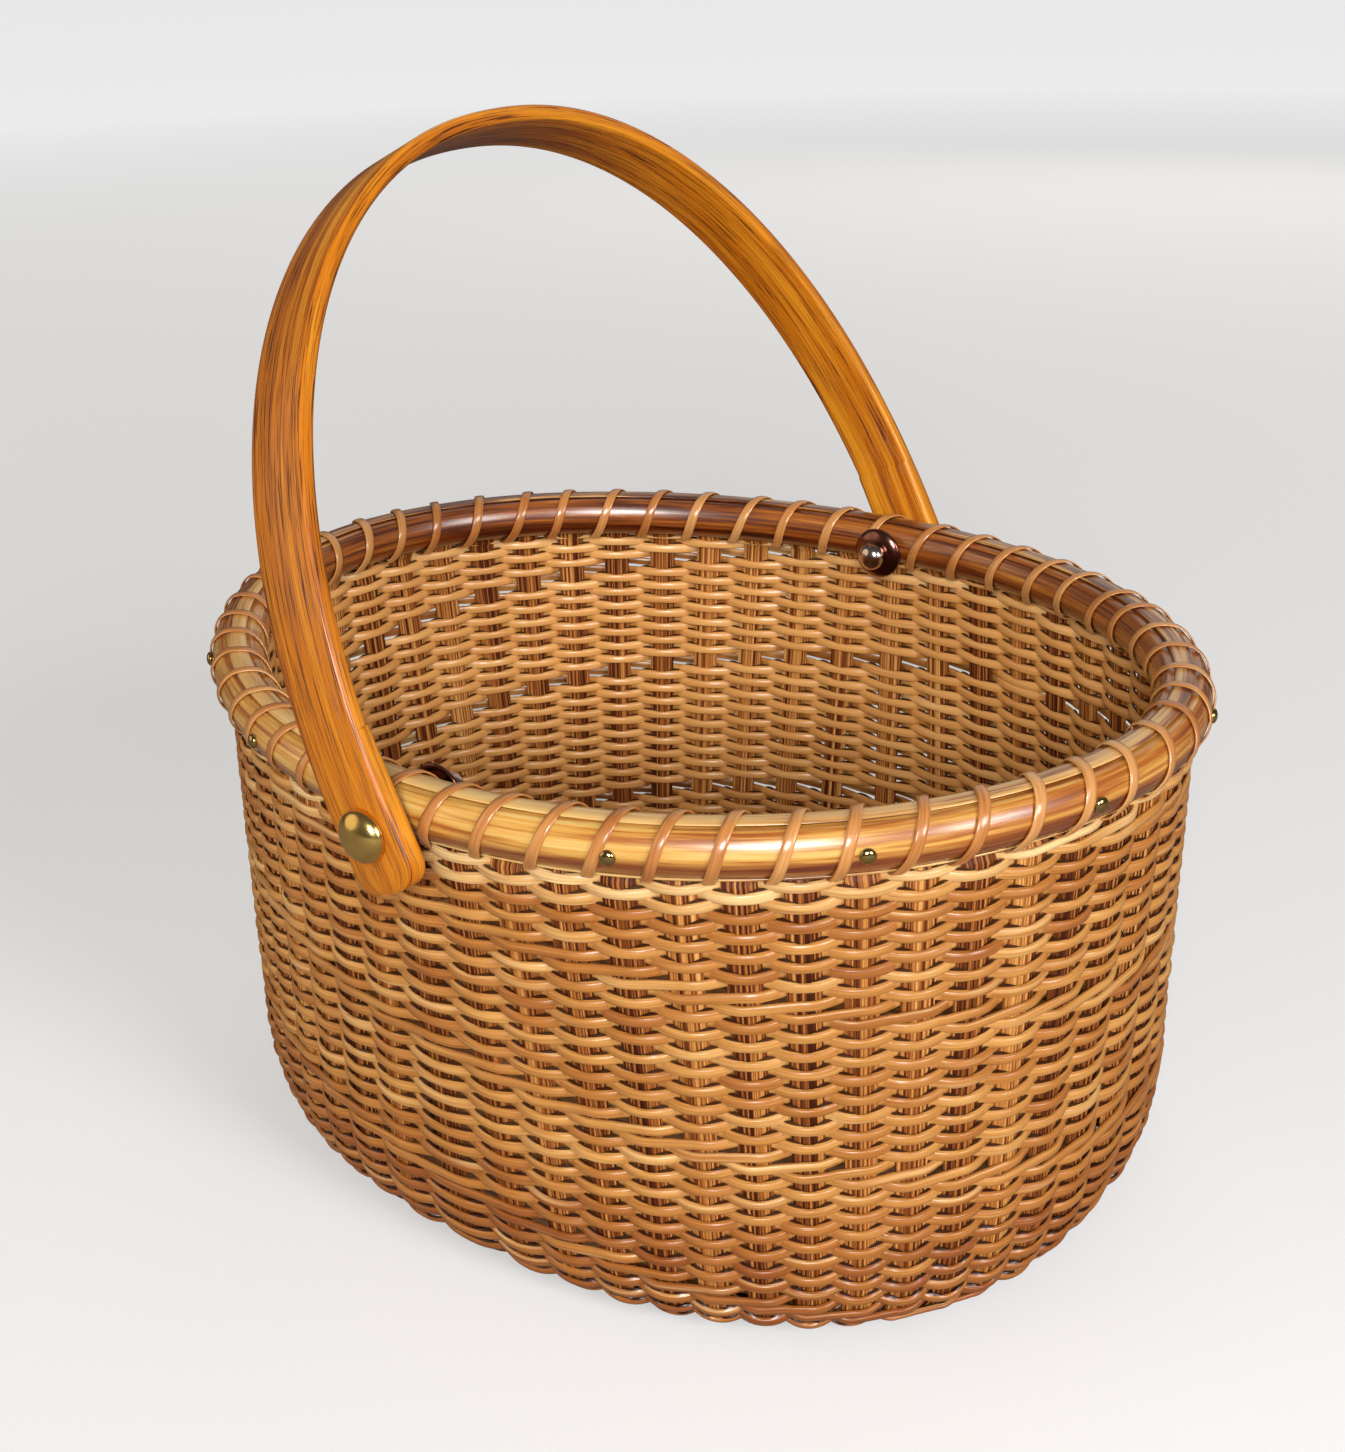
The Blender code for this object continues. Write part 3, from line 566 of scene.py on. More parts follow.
def cane_material():
    """Varnished cane: streaked bark, tones along the strand, a paler back, painted shade where hidden.
    """
    coat = 0.30
    s = Shading("woven_cane", roughness=0.38, coat=coat, coat_roughness=0.20)
    tone, seed, depth = s.attribute("tone"), s.attribute("seed"), s.attribute("depth")
    bark = s.ramp(tone, [
        (0.0, (0.31, 0.090, 0.015)), (0.35, (0.48, 0.190, 0.037)), (0.65, (0.63, 0.315, 0.082)),
        (1.0, (0.88, 0.62, 0.29)),
    ])
    streak = s.noise(s.grain(70, 2600, seed), detail=3, roughness=0.6)
    bark = s.mix(s.level(streak, 0.35, 0.7), bark, s.tint(bark, (0.70, 0.55, 0.42)))
    fleck = s.noise(s.grain(18, 500, seed), detail=2)
    bark = s.mix(s.level(fleck, 0.60, 0.72, 0, 0.45), bark, (0.86, 0.55, 0.24))
    back = s.mix(s.level(streak, 0.3, 0.7, 0.35, 0.8), bark, (0.82, 0.41, 0.125))
    colour = s.mix(s.level(depth, -0.25, 0.1, 1, 0), bark, back)
    # Painted shade: hidden sides in the crevices and on the lip are darkened and lose their coat
    painted_shade = s.tint(colour, (0.05, 0.014, 0.008))
    buried = s.level(s.attribute("shown"), -1.1, -0.6, 0.95, 0)
    colour = s.mix(buried, colour, painted_shade)
    s.drive("Coat Weight", s.level(buried, 0, 1, coat, 0))
    s.bump(streak, 0.00012, 0.5)
    return s.finish(colour, s.level(streak, 0.3, 0.8, 0.28, 0.46))


def stave_material():
    """Split staves: straw and dark red-brown stripes along the fibres, darkened overall as painted
    shade of their recess.
    """
    s = Shading("stave_wood", roughness=0.55, coat=0.0, specular=0.12)
    seed, tone = s.attribute("seed"), s.attribute("tone")
    wide = s.noise(s.grain(10, 1800, seed), detail=1)
    fine = s.noise(s.grain(30, 4400, seed), detail=3, roughness=0.65)
    stripes = s.weighted((wide, 0.62), (fine, 0.38), (tone, 0.09))
    # The stripes are the staves' own; the ramp's overall darkness is partly painted shade of the
    # recess behind the weave
    colour = s.ramp(stripes, [
        (0.40, (0.045, 0.009, 0.003)), (0.47, (0.140, 0.036, 0.008)), (0.53, (0.31, 0.095, 0.020)),
        (0.60, (0.47, 0.195, 0.045)), (0.70, (0.70, 0.38, 0.12)),
    ])
    s.bump(stripes, 0.0003, 0.6)
    return s.finish(colour, s.level(stripes, 0.4, 0.7, 0.5, 0.36))


def rim_material(name, mid, light):
    """Wood or cane of the rims under gloss varnish: long dark streaks, and painted shade on the low
    side.
    """
    s = Shading(name, roughness=0.30, coat=0.9, coat_roughness=0.25)
    seed, tone = s.attribute("seed"), s.attribute("tone")
    broad = s.noise(s.grain(22, 420, seed), detail=2, distortion=0.4)
    streak = s.noise(s.grain(45, 1500, seed), detail=4, roughness=0.62)
    # tone carries painted light at the front, lifting it into the palest stop, and painted shade at
    # the back and ends
    colour = s.ramp(s.weighted((broad, 0.55), (streak, 0.45), (tone, 0.085)), [
        (0.36, (0.075, 0.013, 0.003)), (0.44, (0.240, 0.062, 0.009)), (0.52, mid), (0.63, light),
        (0.80, (0.84, 0.58, 0.20)),
    ])
    # Painted shade: the rim's underside, turned from the light, is darkened
    low = s.level(s.attribute("low"), 0.05, 0.42, 0, 0.95)
    colour = s.mix(low, colour, s.tint(colour, (0.40, 0.20, 0.12)))
    s.bump(streak, 0.0002, 0.35)
    return s.finish(colour, s.level(streak, 0.35, 0.65, 0.38, 0.24))


def lashing_material():
    """Glossy lashing cane, its tone changing along the strand."""
    s = Shading("lashing_cane", roughness=0.30, coat=0.5, coat_roughness=0.1)
    seed, tone = s.attribute("seed"), s.attribute("tone")
    streak = s.noise(s.grain(60, 2400, seed), detail=3, roughness=0.6)
    bark = s.ramp(tone, [
        (0.0, (0.42, 0.140, 0.030)), (0.5, (0.60, 0.265, 0.075)), (1.0, (0.74, 0.42, 0.16)),
    ])
    colour = s.mix(s.level(streak, 0.35, 0.7), bark, s.tint(bark, (0.72, 0.56, 0.45)))
    s.bump(streak, 0.0001, 0.4)
    return s.finish(colour)


def oak_material():
    """Oak handle: long bands and fine dark open pores along the bend."""
    s = Shading("oak_handle", roughness=0.42, coat=0.22, coat_roughness=0.16, specular=0.35)
    bands = s.noise(s.grain(9, 260), detail=2, distortion=0.6)
    fibre = s.noise(s.grain(40, 1900), detail=4, roughness=0.65)
    pore = s.noise(s.grain(62, 2900), detail=2, roughness=0.5)
    colour = s.ramp(bands, [
        (0.32, (0.42, 0.105, 0.003)), (0.5, (0.64, 0.195, 0.006)), (0.68, (0.84, 0.340, 0.020)),
    ])
    colour = s.mix(s.level(fibre, 0.42, 0.72, 0, 0.85), colour, s.tint(colour, (0.52, 0.38, 0.28)))
    pores = s.math("MULTIPLY", s.level(pore, 0.55, 0.61), s.level(bands, 0.66, 0.46))
    colour = s.mix(s.math("MULTIPLY", pores, 0.92), colour, (0.070, 0.014, 0.002))
    s.bump(s.math("SUBTRACT", fibre, s.math("MULTIPLY", pores, 1.5)), 0.0002, 0.5)
    return s.finish(colour, s.level(fibre, 0.3, 0.7, 0.30, 0.46))


def metal_material(name, colour, dull, roughness):
    """Polished metal with cloudy tarnish and a fine tooth."""
    s = Shading(name, roughness=roughness, metallic=1.0)
    place = s.node("TexCoord").outputs["Object"]
    cloud = s.noise(place, detail=3, scale=260.0)
    fine = s.noise(place, detail=2, scale=2400.0)
    blended = s.mix(s.level(cloud, 0.45, 0.75), colour, dull)
    s.bump(fine, 0.00003, 0.3)
    return s.finish(blended, s.level(cloud, 0.35, 0.7, roughness, roughness + 0.12))


def base_material():
    """Plain wood of the base, its fibres along the basket."""
    s = Shading("base_wood", roughness=0.45, coat=0.2, coat_roughness=0.25)
    place = s.node("TexCoord").outputs["Object"]
    stretched = s.node("Mapping", {"Vector": place, "Scale": (18, 420, 420)}).outputs[0]
    fibres = s.noise(stretched, detail=4, roughness=0.6, distortion=0.3)
    colour = s.ramp(fibres, [
        (0.36, (0.20, 0.085, 0.028)), (0.5, (0.40, 0.21, 0.075)), (0.66, (0.56, 0.33, 0.13)),
    ])
    s.bump(fibres, 0.0002, 0.4)
    return s.finish(colour, s.level(fibres, 0.3, 0.7, 0.52, 0.38))


def stage_material():
    """Pale paper for the camera, brighter far away to meet the white behind, and dim to other rays."""
    s = Shading("stage_paper", roughness=0.9, specular=0.2)
    place = s.node("TexCoord").outputs["Object"]
    tooth = s.noise(place, detail=3, scale=900.0)
    seen = s.node("LightPath").outputs["Is Camera Ray"]
    paper = s.mix(tooth, (0.70, 0.70, 0.70), (0.73, 0.73, 0.73))
    colour = s.mix(seen, (0.26, 0.23, 0.20), paper)
    distance = s.node("VectorMath", {0: place}, operation="LENGTH").outputs["Value"]
    glow = s.math("MULTIPLY", s.level(distance, 0.25, 2.2, 0.22, 0.70), seen)
    s.shader.inputs["Emission Color"].default_value = (1, 1, 1, 1)
    s.drive("Emission Strength", glow)
    return s.finish(colour)


# Woven wall

def float_starts(last):
    """Passes at which the weaver goes over two staves, so that rounds alternate."""
    starts = [FLOAT_ROUND * STAVES + FLOAT_STAVE]
    step = 0
    while starts[-1] < last:
        starts.append(starts[-1] + FLOAT_STEPS[step % len(FLOAT_STEPS)])
        step += 1
    step = 0
    while starts[0] > 0:
        starts.insert(0, starts[0] - FLOAT_STEPS[step % len(FLOAT_STEPS)])
        step += 1
    return np.array(starts)


def weave_sides(count):
    """1 where the weaver passes outside a stave, -1 where it passes inside."""
    passes = np.arange(count)
    starts = float_starts(count)
    since = passes - starts[np.searchsorted(starts, passes, side="right") - 1]
    return np.where((since == 0) | (since % 2 == 1), 1.0, -1.0)


def float_push(count):
    """How far each pass is pushed up, or down where negative, by floats a few rows away."""
    passes = np.arange(count)
    starts = float_starts(count)
    push = np.zeros(count)
    for rows_up in range(-FLOAT_PUSH_ROWS, FLOAT_PUSH_ROWS):
        away = abs(rows_up + 0.5) - 0.5
        in_line = np.isin(passes - 1 - STAVES * rows_up, starts)
        push[in_line] += math.copysign(FLOAT_PUSH, rows_up + 0.5) * FLOAT_PUSH_FADE ** away
    return push


def strand_waves(side, push, u):
    """How far out of the wall the strand lies, 1 to -1, and its share of the lip, along its passes."""
    near = np.rint(u).astype(int)
    offset = u - near
    other = np.clip(near + np.where(offset >= 0, 1, -1), 0, len(side) - 1)
    alike = side[near] == side[other]
    reach = 1 + REACH_SPREAD * rng.standard_normal(len(side))
    crossing = np.interp(np.abs(offset), CROSSING_PLACES, CROSSING_SHARES)
    floating = 1 - FLOAT_SAG * np.sin(math.pi * offset) ** 2
    out = side[near] * reach[near] * np.where(alike, floating, crossing)
    open_line = alike | (np.abs(push[near]) > OPEN_LINE_PUSH)
    lip = np.where(open_line, 0, np.interp(np.abs(offset), CROSSING_PLACES, LIP_SHARES))
    return out, lip


def weave_band(u):
    """Upper and lower edge of the strand's band, as arcs down the wall, narrowing at its ends."""
    upper = np.maximum(WEAVE_LOW_ARC - WEAVE_PITCH * u / STAVES, WEAVE_TOP_ARC)
    lower = np.minimum(WEAVE_LOW_ARC - WEAVE_PITCH * (u / STAVES - 1), WEAVE_LOW_ARC)
    return upper, lower


def pass_noise(values, u):
    """One value for each pass, run straight from one pass to the next."""
    return np.interp(u, np.arange(len(values)), values)


def make_weaver(material):
    """One strand from the base's edge to the rim. u counts its passes, whole numbers being staves."""
    passes = ROUNDS * STAVES
    u = np.arange(0, (passes - 1) * PASS_POINTS + 1) / PASS_POINTS
    push = float_push(passes + 1)
    out, lip = strand_waves(weave_sides(passes + 1), push, u)
    upper, lower = weave_band(u)
    width = np.maximum(lower - upper, MIN_STRAND_WIDTH)
    fullness = width / WEAVE_PITCH
    drift = pass_noise(rng.standard_normal(passes + 1), u) * DRIFT_SPREAD
    arc = (upper + lower) / 2 + drift - pass_noise(push, u)
    middle, outward = wall_place(stave_turn(u), arc)
    uneven = SWELL_SPREAD * smooth_noise(len(u), SWELL_PASSES * PASS_POINTS)
    swell = SWELL + uneven - SWELL_PINCH * out ** 2
    thick = STRAND_THICK * swell * np.minimum(1, fullness + END_THICK)
    path = middle + outward * (out * STRAND_SWING * np.minimum(1, fullness + END_SWING))[:, None]
    roll = pass_noise(rng.standard_normal(passes + 1), u)[:, None] * ROLL_SPREAD
    c, s = np.cos(roll), np.sin(roll)
    tangent = unit(np.gradient(path, axis=0))
    normal = square_to(outward, tangent)
    down = np.cross(tangent, normal)
    normal, down = normal * c + down * s, down * c - normal * s
    rings = section_rings(path, down, normal, CANE_SECTION, width * STRAND_FILL * swell, thick / 2)
    facing = out[:, None] * CANE_SECTION[None, :, 1]
    is_lip = (facing < 0) & (CANE_SECTION[None, :, 0] < LIP_EDGE)
    hidden = np.where(is_lip, lip[:, None], 0)
    rings -= down[:, None] * (hidden * LIP)[:, :, None]
    # depth says how far out of the wall a point lies, and shown whether it faces away from the staves
    # Low shown values, on the hidden sides and the lip, get painted shade in the material
    attributes = {
        "tone": weaver_tone(u, passes),
        "depth": out[:, None] + SECTION_DEPTH * CANE_SECTION[None, :, 1],
        "shown": facing - LIP_PAINTED_SHADE * hidden,
        "seed": smooth_noise(len(u), CANE_SEED_PASSES * PASS_POINTS, 0, CANE_SEEDS),
    }
    around = girth(CANE_SECTION * [WEAVE_PITCH / 2, STRAND_THICK / 2])
    weaver = swept("weaver", rings, lengths(path), around, material, attributes=attributes)
    keep_place(weaver, "basket", "woven_wall")


def weaver_tone(u, passes):
    """Tone along the strand: its lengths differ, the top rounds are paler and the low ones darker."""
    cane_lengths = smooth_noise(len(u), CANE_LENGTH_PASSES * PASS_POINTS)
    patches = smooth_noise(len(u), CANE_PATCH_PASSES * PASS_POINTS)
    stitches = pass_noise(rng.uniform(-1, 1, passes + 1), u)
    share = u / passes
    pale = np.clip((share - PALE_TOP_START) / PALE_TOP_FADE, 0, 1) * PALE_TOP
    low = np.clip((DARK_FOOT_SHARE - share) / DARK_FOOT_SHARE, 0, 1) * DARK_FOOT
    uneven = CANE_LENGTH_TONE * cane_lengths + CANE_PATCH_TONE * patches + STITCH_TONE * stitches
    return CANE_TONE + uneven + pale - low


def stave_section(ridges):
    """Half width across and half thickness: crowned faces whose edges are thinner, ridged outside."""
    across = np.linspace(-1, 1, STAVE_POINTS)
    crown = 1 - (1 - STAVE_EDGE) * np.abs(across) ** STAVE_CROWN_POWER
    front = np.stack([across, crown + ridges * (1 - across ** 4)], -1)
    back = np.stack([across[::-2], -crown[::-2]], -1)
    return np.concatenate([front, back])


def make_staves(material):
    """Staves, each from its head between the rims down to its foot in the base's slot."""
    arc = np.concatenate([np.linspace(*STAVE_BLADE), np.linspace(*STAVE_BEND), STAVE_FOOT])
    head_out, head_up = np.transpose(STAVE_HEAD)
    for stave in range(STAVES):
        turn = np.full(len(arc), float(stave_turn(stave)))
        middle, outward = wall_place(turn, arc)
        head = rim_place(turn[:len(STAVE_HEAD)], head_out, head_up)
        level = np.repeat(unit(outward[:1] * [1, 1, 0]), len(head), 0)
        middle = np.concatenate([head, middle])
        outward = unit(np.concatenate([level, outward]))
        across = unit(np.cross(unit(np.gradient(middle, axis=0)), outward))
        section = stave_section(STAVE_RIDGES * rng.uniform(-1, 1, STAVE_POINTS))
        along = lengths(middle)
        share = np.clip(along / STAVE_TAPER_LENGTH, 0, 1)
        half = (STAVE_WIDTH + (STAVE_FOOT_WIDTH - STAVE_WIDTH) * share) / 2
        rings = section_rings(middle, across, outward, section, half, STAVE_THICK / 2)
        around = girth(section * [STAVE_WIDTH / 2, STAVE_THICK / 2])
        attributes = {"seed": stave * STAVE_SEED_STEP, "tone": rng.uniform(*STAVE_TONES)}
        piece = swept(f"stave_{stave + 1:02d}", rings, along, around, material, sharp=STAVE_SHARP,
                      attributes=attributes)
        keep_place(piece, "basket", "woven_wall")


# Rims

def make_ring(name, section, material, node, seed, wander=0.0, sharp=None, paint_shade_below=False):
    """A closed ring with a section of (out, up) along the rim. It may waver, and carry painted shade
    below.
    """
    turns = stave_turn(np.arange(STAVES * RIM_STATIONS_PER_STAVE) / RIM_STATIONS_PER_STAVE)
    section = np.asarray(section, float)
    lowness = np.clip(-section[:, 1] / RIM_FLAT_LOW, 0, 1) if paint_shade_below else np.zeros(len(section))
    many, few = WANDER_WAVES
    sway = wander * np.sin(turns[:, None] * many + np.arange(2) * 2) * np.sin(turns[:, None] * few)
    rings = np.stack([rim_place(turns, out + sway[:, 0], up + sway[:, 1]) for out, up in section], 1)
    along = np.append(np.interp(np.arange(len(turns)), [0, len(turns)], [0, RIM_LENGTH]), RIM_LENGTH)
    # Painted light and shade round the ring: paler toward the front, darker at the back and at the
    # ends
    sides, ends = np.cos(turns + RIM_PAINTED_LIGHT_TURN), np.cos(2 * turns)
    tone = RIM_TONE + RIM_PAINTED_LIGHT_FRONT * sides - RIM_PAINTED_SHADE_ENDS * ends
    attributes = {"seed": seed, "tone": tone, "low": np.tile(lowness, (len(turns), 1))}
    piece = swept(name, rings, along, girth(section), material, closed=True, sharp=sharp,
                  attributes=attributes)
    keep_place(piece, "basket", node)


def half_round(side):
    """Section of a rim's half on one side of the stave heads, 1 outside and -1 inside."""
    top, low = math.asin(RIM_FLAT_TOP / RIM_RADIUS), math.asin(RIM_FLAT_LOW / RIM_RADIUS)
    bends = np.linspace(top, -low, RIM_BENDS)
    arc = [(RIM_RADIUS * math.cos(b), RIM_RADIUS * math.sin(b)) for b in bends]
    section = [(RIM_FLAT, RIM_FLAT_TOP)] + arc + [(RIM_FLAT, -RIM_FLAT_LOW)]
    return soften(np.array(section) * [side, 1])


def make_rims(wood, strip):
    for node, side, seed in (("outer_rim", 1, 3.0), ("inner_rim", -1, 17.0)):
        section = half_round(side)
        make_ring(node + "_wood", section, wood, node, seed, sharp=RIM_SHARP, paint_shade_below=True)
    half, low, high = TOP_CANE
    crown, edge = (low + high) / 2, half / 2
    section = [(-half, low), (-half, crown), (-edge, high), (edge, high), (half, crown), (half, low)]
    section = soften(section)
    make_ring("top_cane", section, strip, "rim_top_cane", seed=5.0, wander=STRIP_WANDER)
    near, far, low, high = LOWER_CANE
    section = soften([(near, high), (far, high), (far, low), (near, low)], 2)
    make_ring("lower_cane", section, strip, "rim_lower_cane", seed=9.0, wander=STRIP_WANDER)


def make_lashing(material):
    """One strand wound over both rims, up the outside and down the inside, once in each gap."""
    loop = np.array(LASHING_LOOP) * MM
    share = np.arange(len(loop)) / (len(loop) - 1)
    path = []
    for stave in range(STAVES):
        lean = LASHING_LEAN * rng.uniform(-1, 1) * np.sin(math.pi * share)
        path.append(np.stack([stave_turn(stave + 0.5 + share + lean), loop[:, 0], loop[:, 1]], -1))
    turn, out, up = soften(np.concatenate(path), 2, closed=False).T
    points = rim_place(turn, out, up)
    tangent = unit(np.gradient(points, axis=0))
    side = square_to(unit(rim_place(turn + TURN_AHEAD, out, up) - points), tangent)
    normal = np.cross(side, tangent)
    count = len(points)
    width = LASHING_WIDTH * (1 + LASHING_SWELL * smooth_noise(count, LASHING_SWELL_POINTS))
    rings = section_rings(points, side, normal, LASHING_SECTION, width / 2, LASHING_THICK / 2)
    tone = (LASHING_TONE + LASHING_LENGTH_TONE * smooth_noise(count, LASHING_LENGTH_POINTS)
            + LASHING_PATCH_TONE * smooth_noise(count, LASHING_PATCH_POINTS))
    seed = smooth_noise(count, LASHING_SEED_POINTS, 0, LASHING_SEEDS)
    around = girth(LASHING_SECTION * [LASHING_WIDTH / 2, LASHING_THICK / 2])
    piece = swept("lashing", rings, lengths(points), around, material,
                  attributes={"seed": seed, "tone": tone})
    keep_place(piece, "basket", "rim_lashing")


# Base

def make_base(material):
    """The base is the CAD solid itself, with its wood."""
    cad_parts["base_plate"].data.materials.clear()
    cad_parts["base_plate"].data.materials.append(material)


# Handle

def hoop_outer(rise):
    """Outer face of the strap and the way in, where its middle line has a rise above the pins."""
    share = np.clip(rise / HOOP_REACH, 0, 1)
    reach = HOOP_LINE * (1 - share ** HOOP_POWER) ** (1 / HOOP_POWER)
    ny = (reach / HOOP_LINE) ** (HOOP_POWER - 1) / HOOP_LINE
    nz = share ** (HOOP_POWER - 1) / HOOP_REACH
    normal = unit(np.stack([ny, nz], -1))
    return np.stack([reach, rise], -1) + normal * STRAP_THICK / 2, -normal


def handle_half():
    """Outer face, way in, depth and half width of the strap, from the foot's end to the crown."""
    half = STRAP_WIDTH / 2
    bend = np.linspace(0, math.pi / 2, FOOT_BENDS)
    foot = FOOT_ROUND * (1 - np.cos(bend)) - FOOT_DROP
    narrow = half - FOOT_ROUND * (1 - np.sin(bend))
    block = np.linspace(-FOOT_DROP + FOOT_ROUND, SHOULDER_RISE, BLOCK_STEPS)[1:]
    block_outer, _ = hoop_outer(np.concatenate([foot, block]))
    block_depth = block_outer[:, 0] - HOOP_INNER
    block_inward = np.repeat([[-1.0, 0.0]], len(block_outer), 0)
    spare = max(block_depth[-1] - STRAP_THICK - SHOULDER_STEP, 0)
    first = math.asin((SHOULDER_RISE / HOOP_REACH) ** (HOOP_POWER / 2))
    turn = first + (math.pi / 2 - first) * np.linspace(0, 1, HOOP_STEPS)
    rise = HOOP_REACH * np.sin(turn) ** (2 / HOOP_POWER)
    strap_outer, strap_inward = hoop_outer(rise)
    flare = np.maximum(0, 1 - (rise - SHOULDER_RISE) / SHOULDER_FLARE)
    return (np.concatenate([block_outer, strap_outer]), np.concatenate([block_inward, strap_inward]),
            np.concatenate([block_depth, STRAP_THICK + spare * flare ** 2]),
            np.concatenate([narrow, np.full(len(block) + len(rise), half)]))


def strap_section(deep, wide):
    """Points of the strap's section: across, and in from its outer face."""
    points = []
    for x_side, inner, start in STRAP_CORNERS:
        for turn in np.radians(start + np.array(STRAP_CORNER_TURNS)):
            x = x_side * (wide - STRAP_EDGE) + STRAP_EDGE * math.cos(turn)
            d = (deep - STRAP_EDGE if inner else STRAP_EDGE) + STRAP_EDGE * math.sin(turn)
            points.append((x, d))
    return points


def make_handle(material):
    """The strap from foot to foot, leaning as in the photograph."""
    outer, inward, depth, half = handle_half()
    mirror = np.array([-1, 1])
    outer = np.concatenate([outer * mirror, outer[-2::-1]])
    inward = np.concatenate([inward * mirror, inward[-2::-1]])
    depth = np.concatenate([depth, depth[-2::-1]])
    half = np.concatenate([half, half[-2::-1]])
    rings = np.array([[(x, *(face + way * d)) for x, d in strap_section(deep, wide)]
                      for face, way, deep, wide in zip(outer, inward, depth, half)])
    c, s = math.cos(LEAN), math.sin(LEAN)
    x, z = rings[..., 0].copy(), rings[..., 2].copy()
    rings[..., 0] = x * c + z * s
    rings[..., 2] = PIN_Z + z * c - x * s
    around = girth(rings[len(rings) // 2])
    piece = swept("bent_handle", rings, lengths(outer), around, material, sharp=HANDLE_SHARP)
    keep_place(piece, "handle", "handle")


# Metal fittings

def make_turned(name, profile, node, material, place, way, steps=FITTING_STEPS):
    """Profile of (radius, height) turned about Z, stood at a place and pointed along a way."""
    mesh = bpy.data.meshes.new(name)
    edges = [(k, k + 1) for k in range(len(profile) - 1)]
    mesh.from_pydata([(radius, 0, height) for radius, height in profile], edges, [])
    piece = add_piece(name, mesh, material)
    screw = piece.modifiers.new("turn", "SCREW")
    screw.axis = "Z"
    screw.steps = screw.render_steps = steps
    screw.use_merge_vertices = True
    screw.merge_threshold = MERGE_DISTANCE
    screw.use_smooth_shade = True
    piece.rotation_mode = "QUATERNION"
    piece.rotation_quaternion = Vector(way).to_track_quat("Z", "Y")
    piece.location = place
    keep_place(piece, "basket", node)


def cap_arc(radius, height, base, steps=12):
    """Domed cap from its crown down to its edge."""
    bends = np.linspace(0, math.pi / 2, steps)
    return [(radius * math.sin(b), base + height * math.cos(b)) for b in bends]


def make_nails(material):
    """Nails through every fourth stave's head, from the front round the right side and on."""
    right = list(range(NAIL_SPACING, STAVES // 2, NAIL_SPACING))
    left = [STAVES - stave for stave in reversed(right)]
    profile = cap_arc(*NAIL_CAP) + NAIL_SHANK
    for number, stave in enumerate(right + left, start=1):
        turn = stave_turn(stave)
        place = rim_place(turn, RIM_RADIUS + NAIL_STAND, 0.0)
        way = place - rim_place(turn, 0.0, 0.0)
        make_turned(f"nail_{number:02d}", profile, f"rim_nail_{number:02d}", material,
                    place, way, NAIL_STEPS)


def make_fittings(brass, bronze, nickel):
    """On both sides the pin, its head outside the handle, and the washer and nut inside the rims."""
    for name, side in (("front", -1), ("back", 1)):
        make_turned(f"{name}_pin_head", cap_arc(*PIN_CAP) + PIN_SHANK, f"{name}_pin", brass,
                    (0, side * PIN_HEAD_Y, PIN_Z), (0, side, 0))
        make_turned(f"{name}_washer_dish", WASHER, f"{name}_washer", bronze,
                    (0, side * WASHER_Y, PIN_Z), (0, -side, 0))
        make_turned(f"{name}_domed_nut", cap_arc(*NUT_CAP) + NUT_BODY, f"{name}_cap_nut",
                    nickel, (0, side * NUT_Y, PIN_Z), (0, -side, 0))


# Stage, lights and camera

def make_stage():
    mesh = bpy.data.meshes.new("floor")
    far = FLOOR_REACH
    corners = [(-far, -far, 0), (far, -far, 0), (far, far, 0), (-far, far, 0)]
    mesh.from_pydata(corners, [], [(0, 1, 2, 3)])
    floor = add_piece("floor", mesh, stage_material())
    floor.location.z = -FLOOR_DROP


def add_lamp(name, place, size, power, colour):
    light = bpy.data.lights.new(name, "AREA")
    light.shape = "DISK"
    light.size = size
    light.energy = power
    light.color = colour
    lamp = bpy.data.objects.new(name, light)
    bpy.context.scene.collection.objects.link(lamp)
    lamp.location = place
    lamp.rotation_mode = "QUATERNION"
    lamp.rotation_quaternion = (Vector(place) - Vector(LAMP_TARGET)).to_track_quat("Z", "Y")


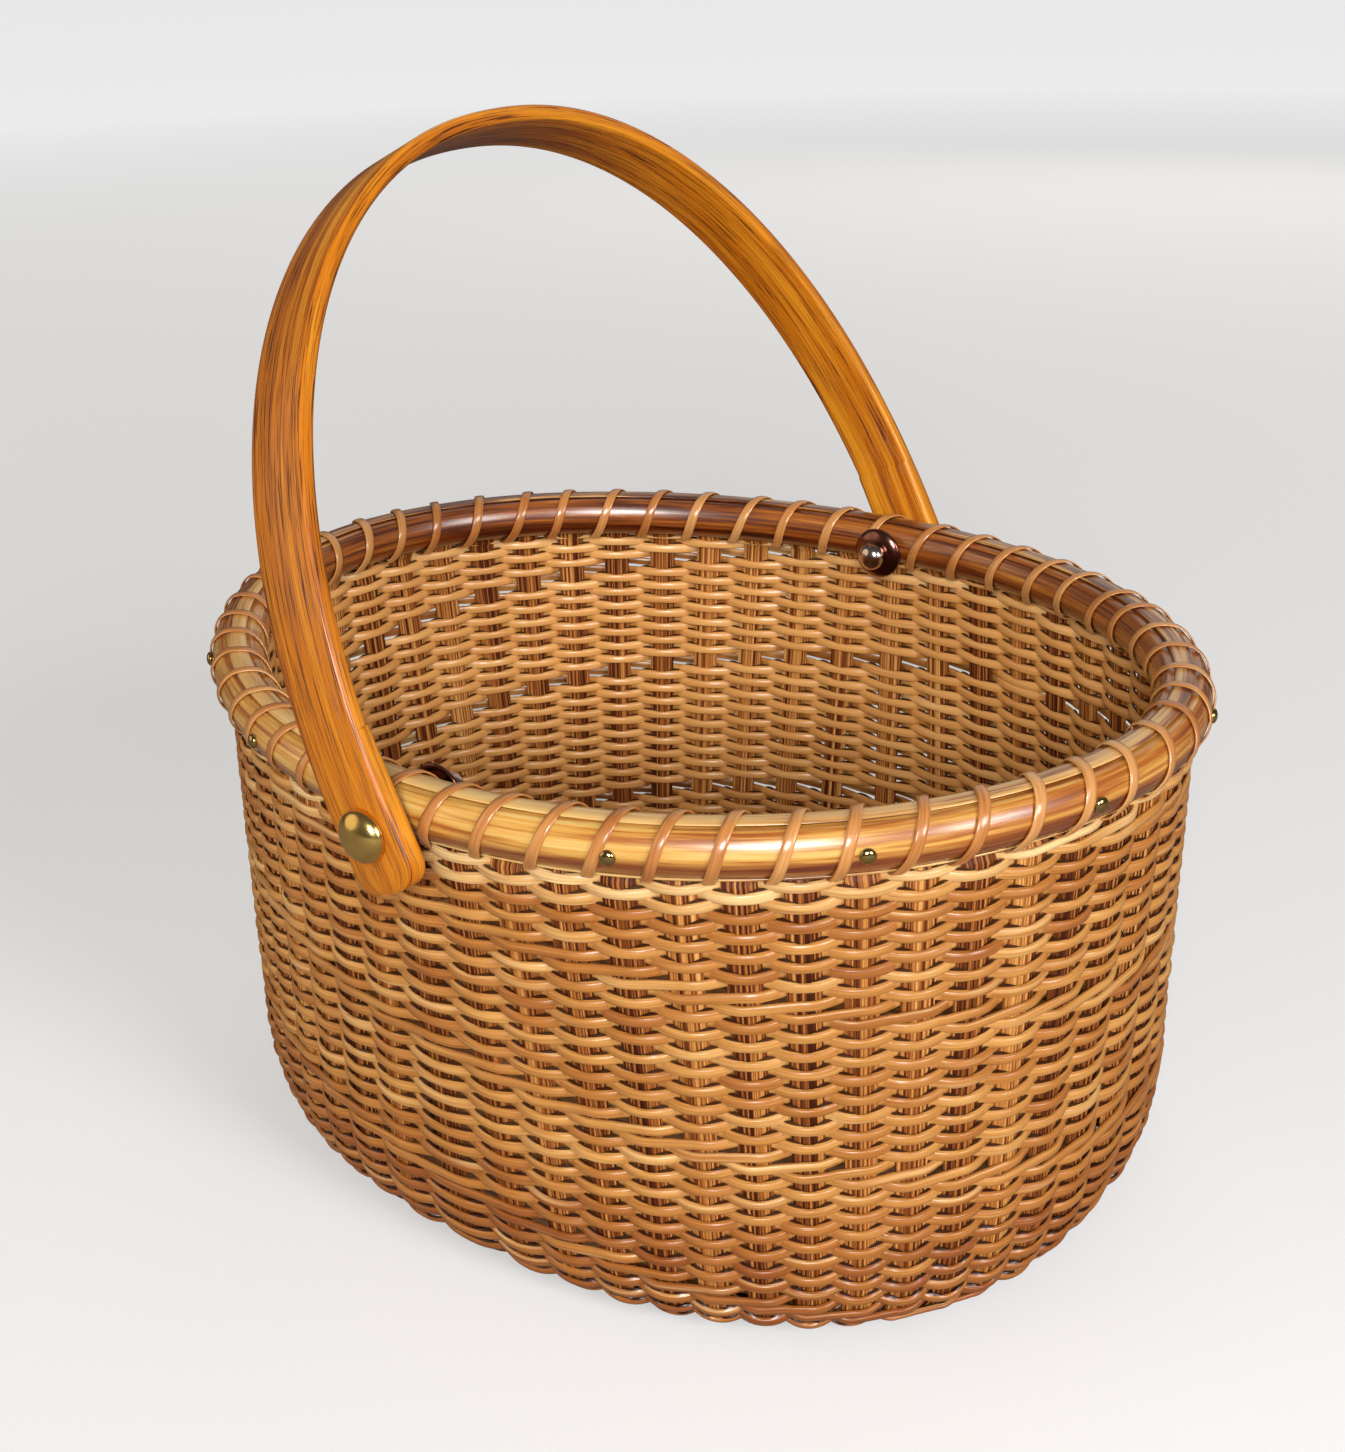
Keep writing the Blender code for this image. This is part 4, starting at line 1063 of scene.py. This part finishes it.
def make_world():
    """Even white light: full to the camera, and dim on the object, so that the lamps shape it."""
    world = bpy.data.worlds.new("studio")
    bpy.context.scene.world = world
    world.use_nodes = True
    tree = world.node_tree
    background = tree.nodes["Background"]
    rays = tree.nodes.new("ShaderNodeLightPath").outputs
    reflected = tree.nodes.new("ShaderNodeMix")
    tree.links.new(rays["Is Glossy Ray"], reflected.inputs[0])
    reflected.inputs[2].default_value = WORLD_FILL
    reflected.inputs[3].default_value = WORLD_REFLECTED
    seen = tree.nodes.new("ShaderNodeMix")
    tree.links.new(rays["Is Camera Ray"], seen.inputs[0])
    tree.links.new(reflected.outputs[0], seen.inputs[2])
    seen.inputs[3].default_value = WORLD_SEEN
    tree.links.new(seen.outputs[0], background.inputs["Strength"])
    background.inputs["Color"].default_value = (1, 1, 1, 1)


def make_camera():
    """Camera of the photograph: level turn, height, distance and roll about the middle of the rim."""
    level = math.cos(CAMERA_ELEVATION)
    back = Vector((math.sin(CAMERA_AZIMUTH) * level, -math.cos(CAMERA_AZIMUTH) * level,
                   math.sin(CAMERA_ELEVATION)))
    camera = bpy.data.cameras.new("camera")
    camera.sensor_width = SENSOR
    camera.lens = CAMERA_FOCAL * SENSOR / PHOTO_SIDE
    camera.shift_x, camera.shift_y = (shift / PHOTO_SIDE for shift in CAMERA_SHIFT)
    camera.clip_start = CLIP_START
    view = bpy.data.objects.new("camera", camera)
    bpy.context.scene.collection.objects.link(view)
    view.location = Vector((0, 0, RIM_Z)) + back * CAMERA_DISTANCE
    view.rotation_mode = "QUATERNION"
    right = Vector((math.cos(CAMERA_AZIMUTH), math.sin(CAMERA_AZIMUTH), 0))
    up = back.cross(right)
    c, s = math.cos(CAMERA_ROLL), math.sin(CAMERA_ROLL)
    turn = Matrix((right * c + up * s, up * c - right * s, back)).transposed()
    view.rotation_quaternion = turn.to_quaternion()
    bpy.context.scene.camera = view


def main():
    brass, nail_brass, bronze, nickel = (metal_material(*metal) for metal in METALS)
    wood = rim_material("rim_wood", mid=(0.38, 0.108, 0.013), light=(0.64, 0.325, 0.062))
    strip = rim_material("rim_cane", mid=(0.62, 0.32, 0.095), light=(0.72, 0.42, 0.14))
    make_weaver(cane_material())
    make_staves(stave_material())
    make_rims(wood, strip)
    make_lashing(lashing_material())
    make_base(base_material())
    make_handle(oak_material())
    make_nails(nail_brass)
    make_fittings(brass, bronze, nickel)
    make_stage()
    make_world()
    for lamp in LAMPS:
        add_lamp(*lamp)
    make_camera()
    scene = bpy.context.scene
    scene.view_settings.view_transform = "Standard"


main()
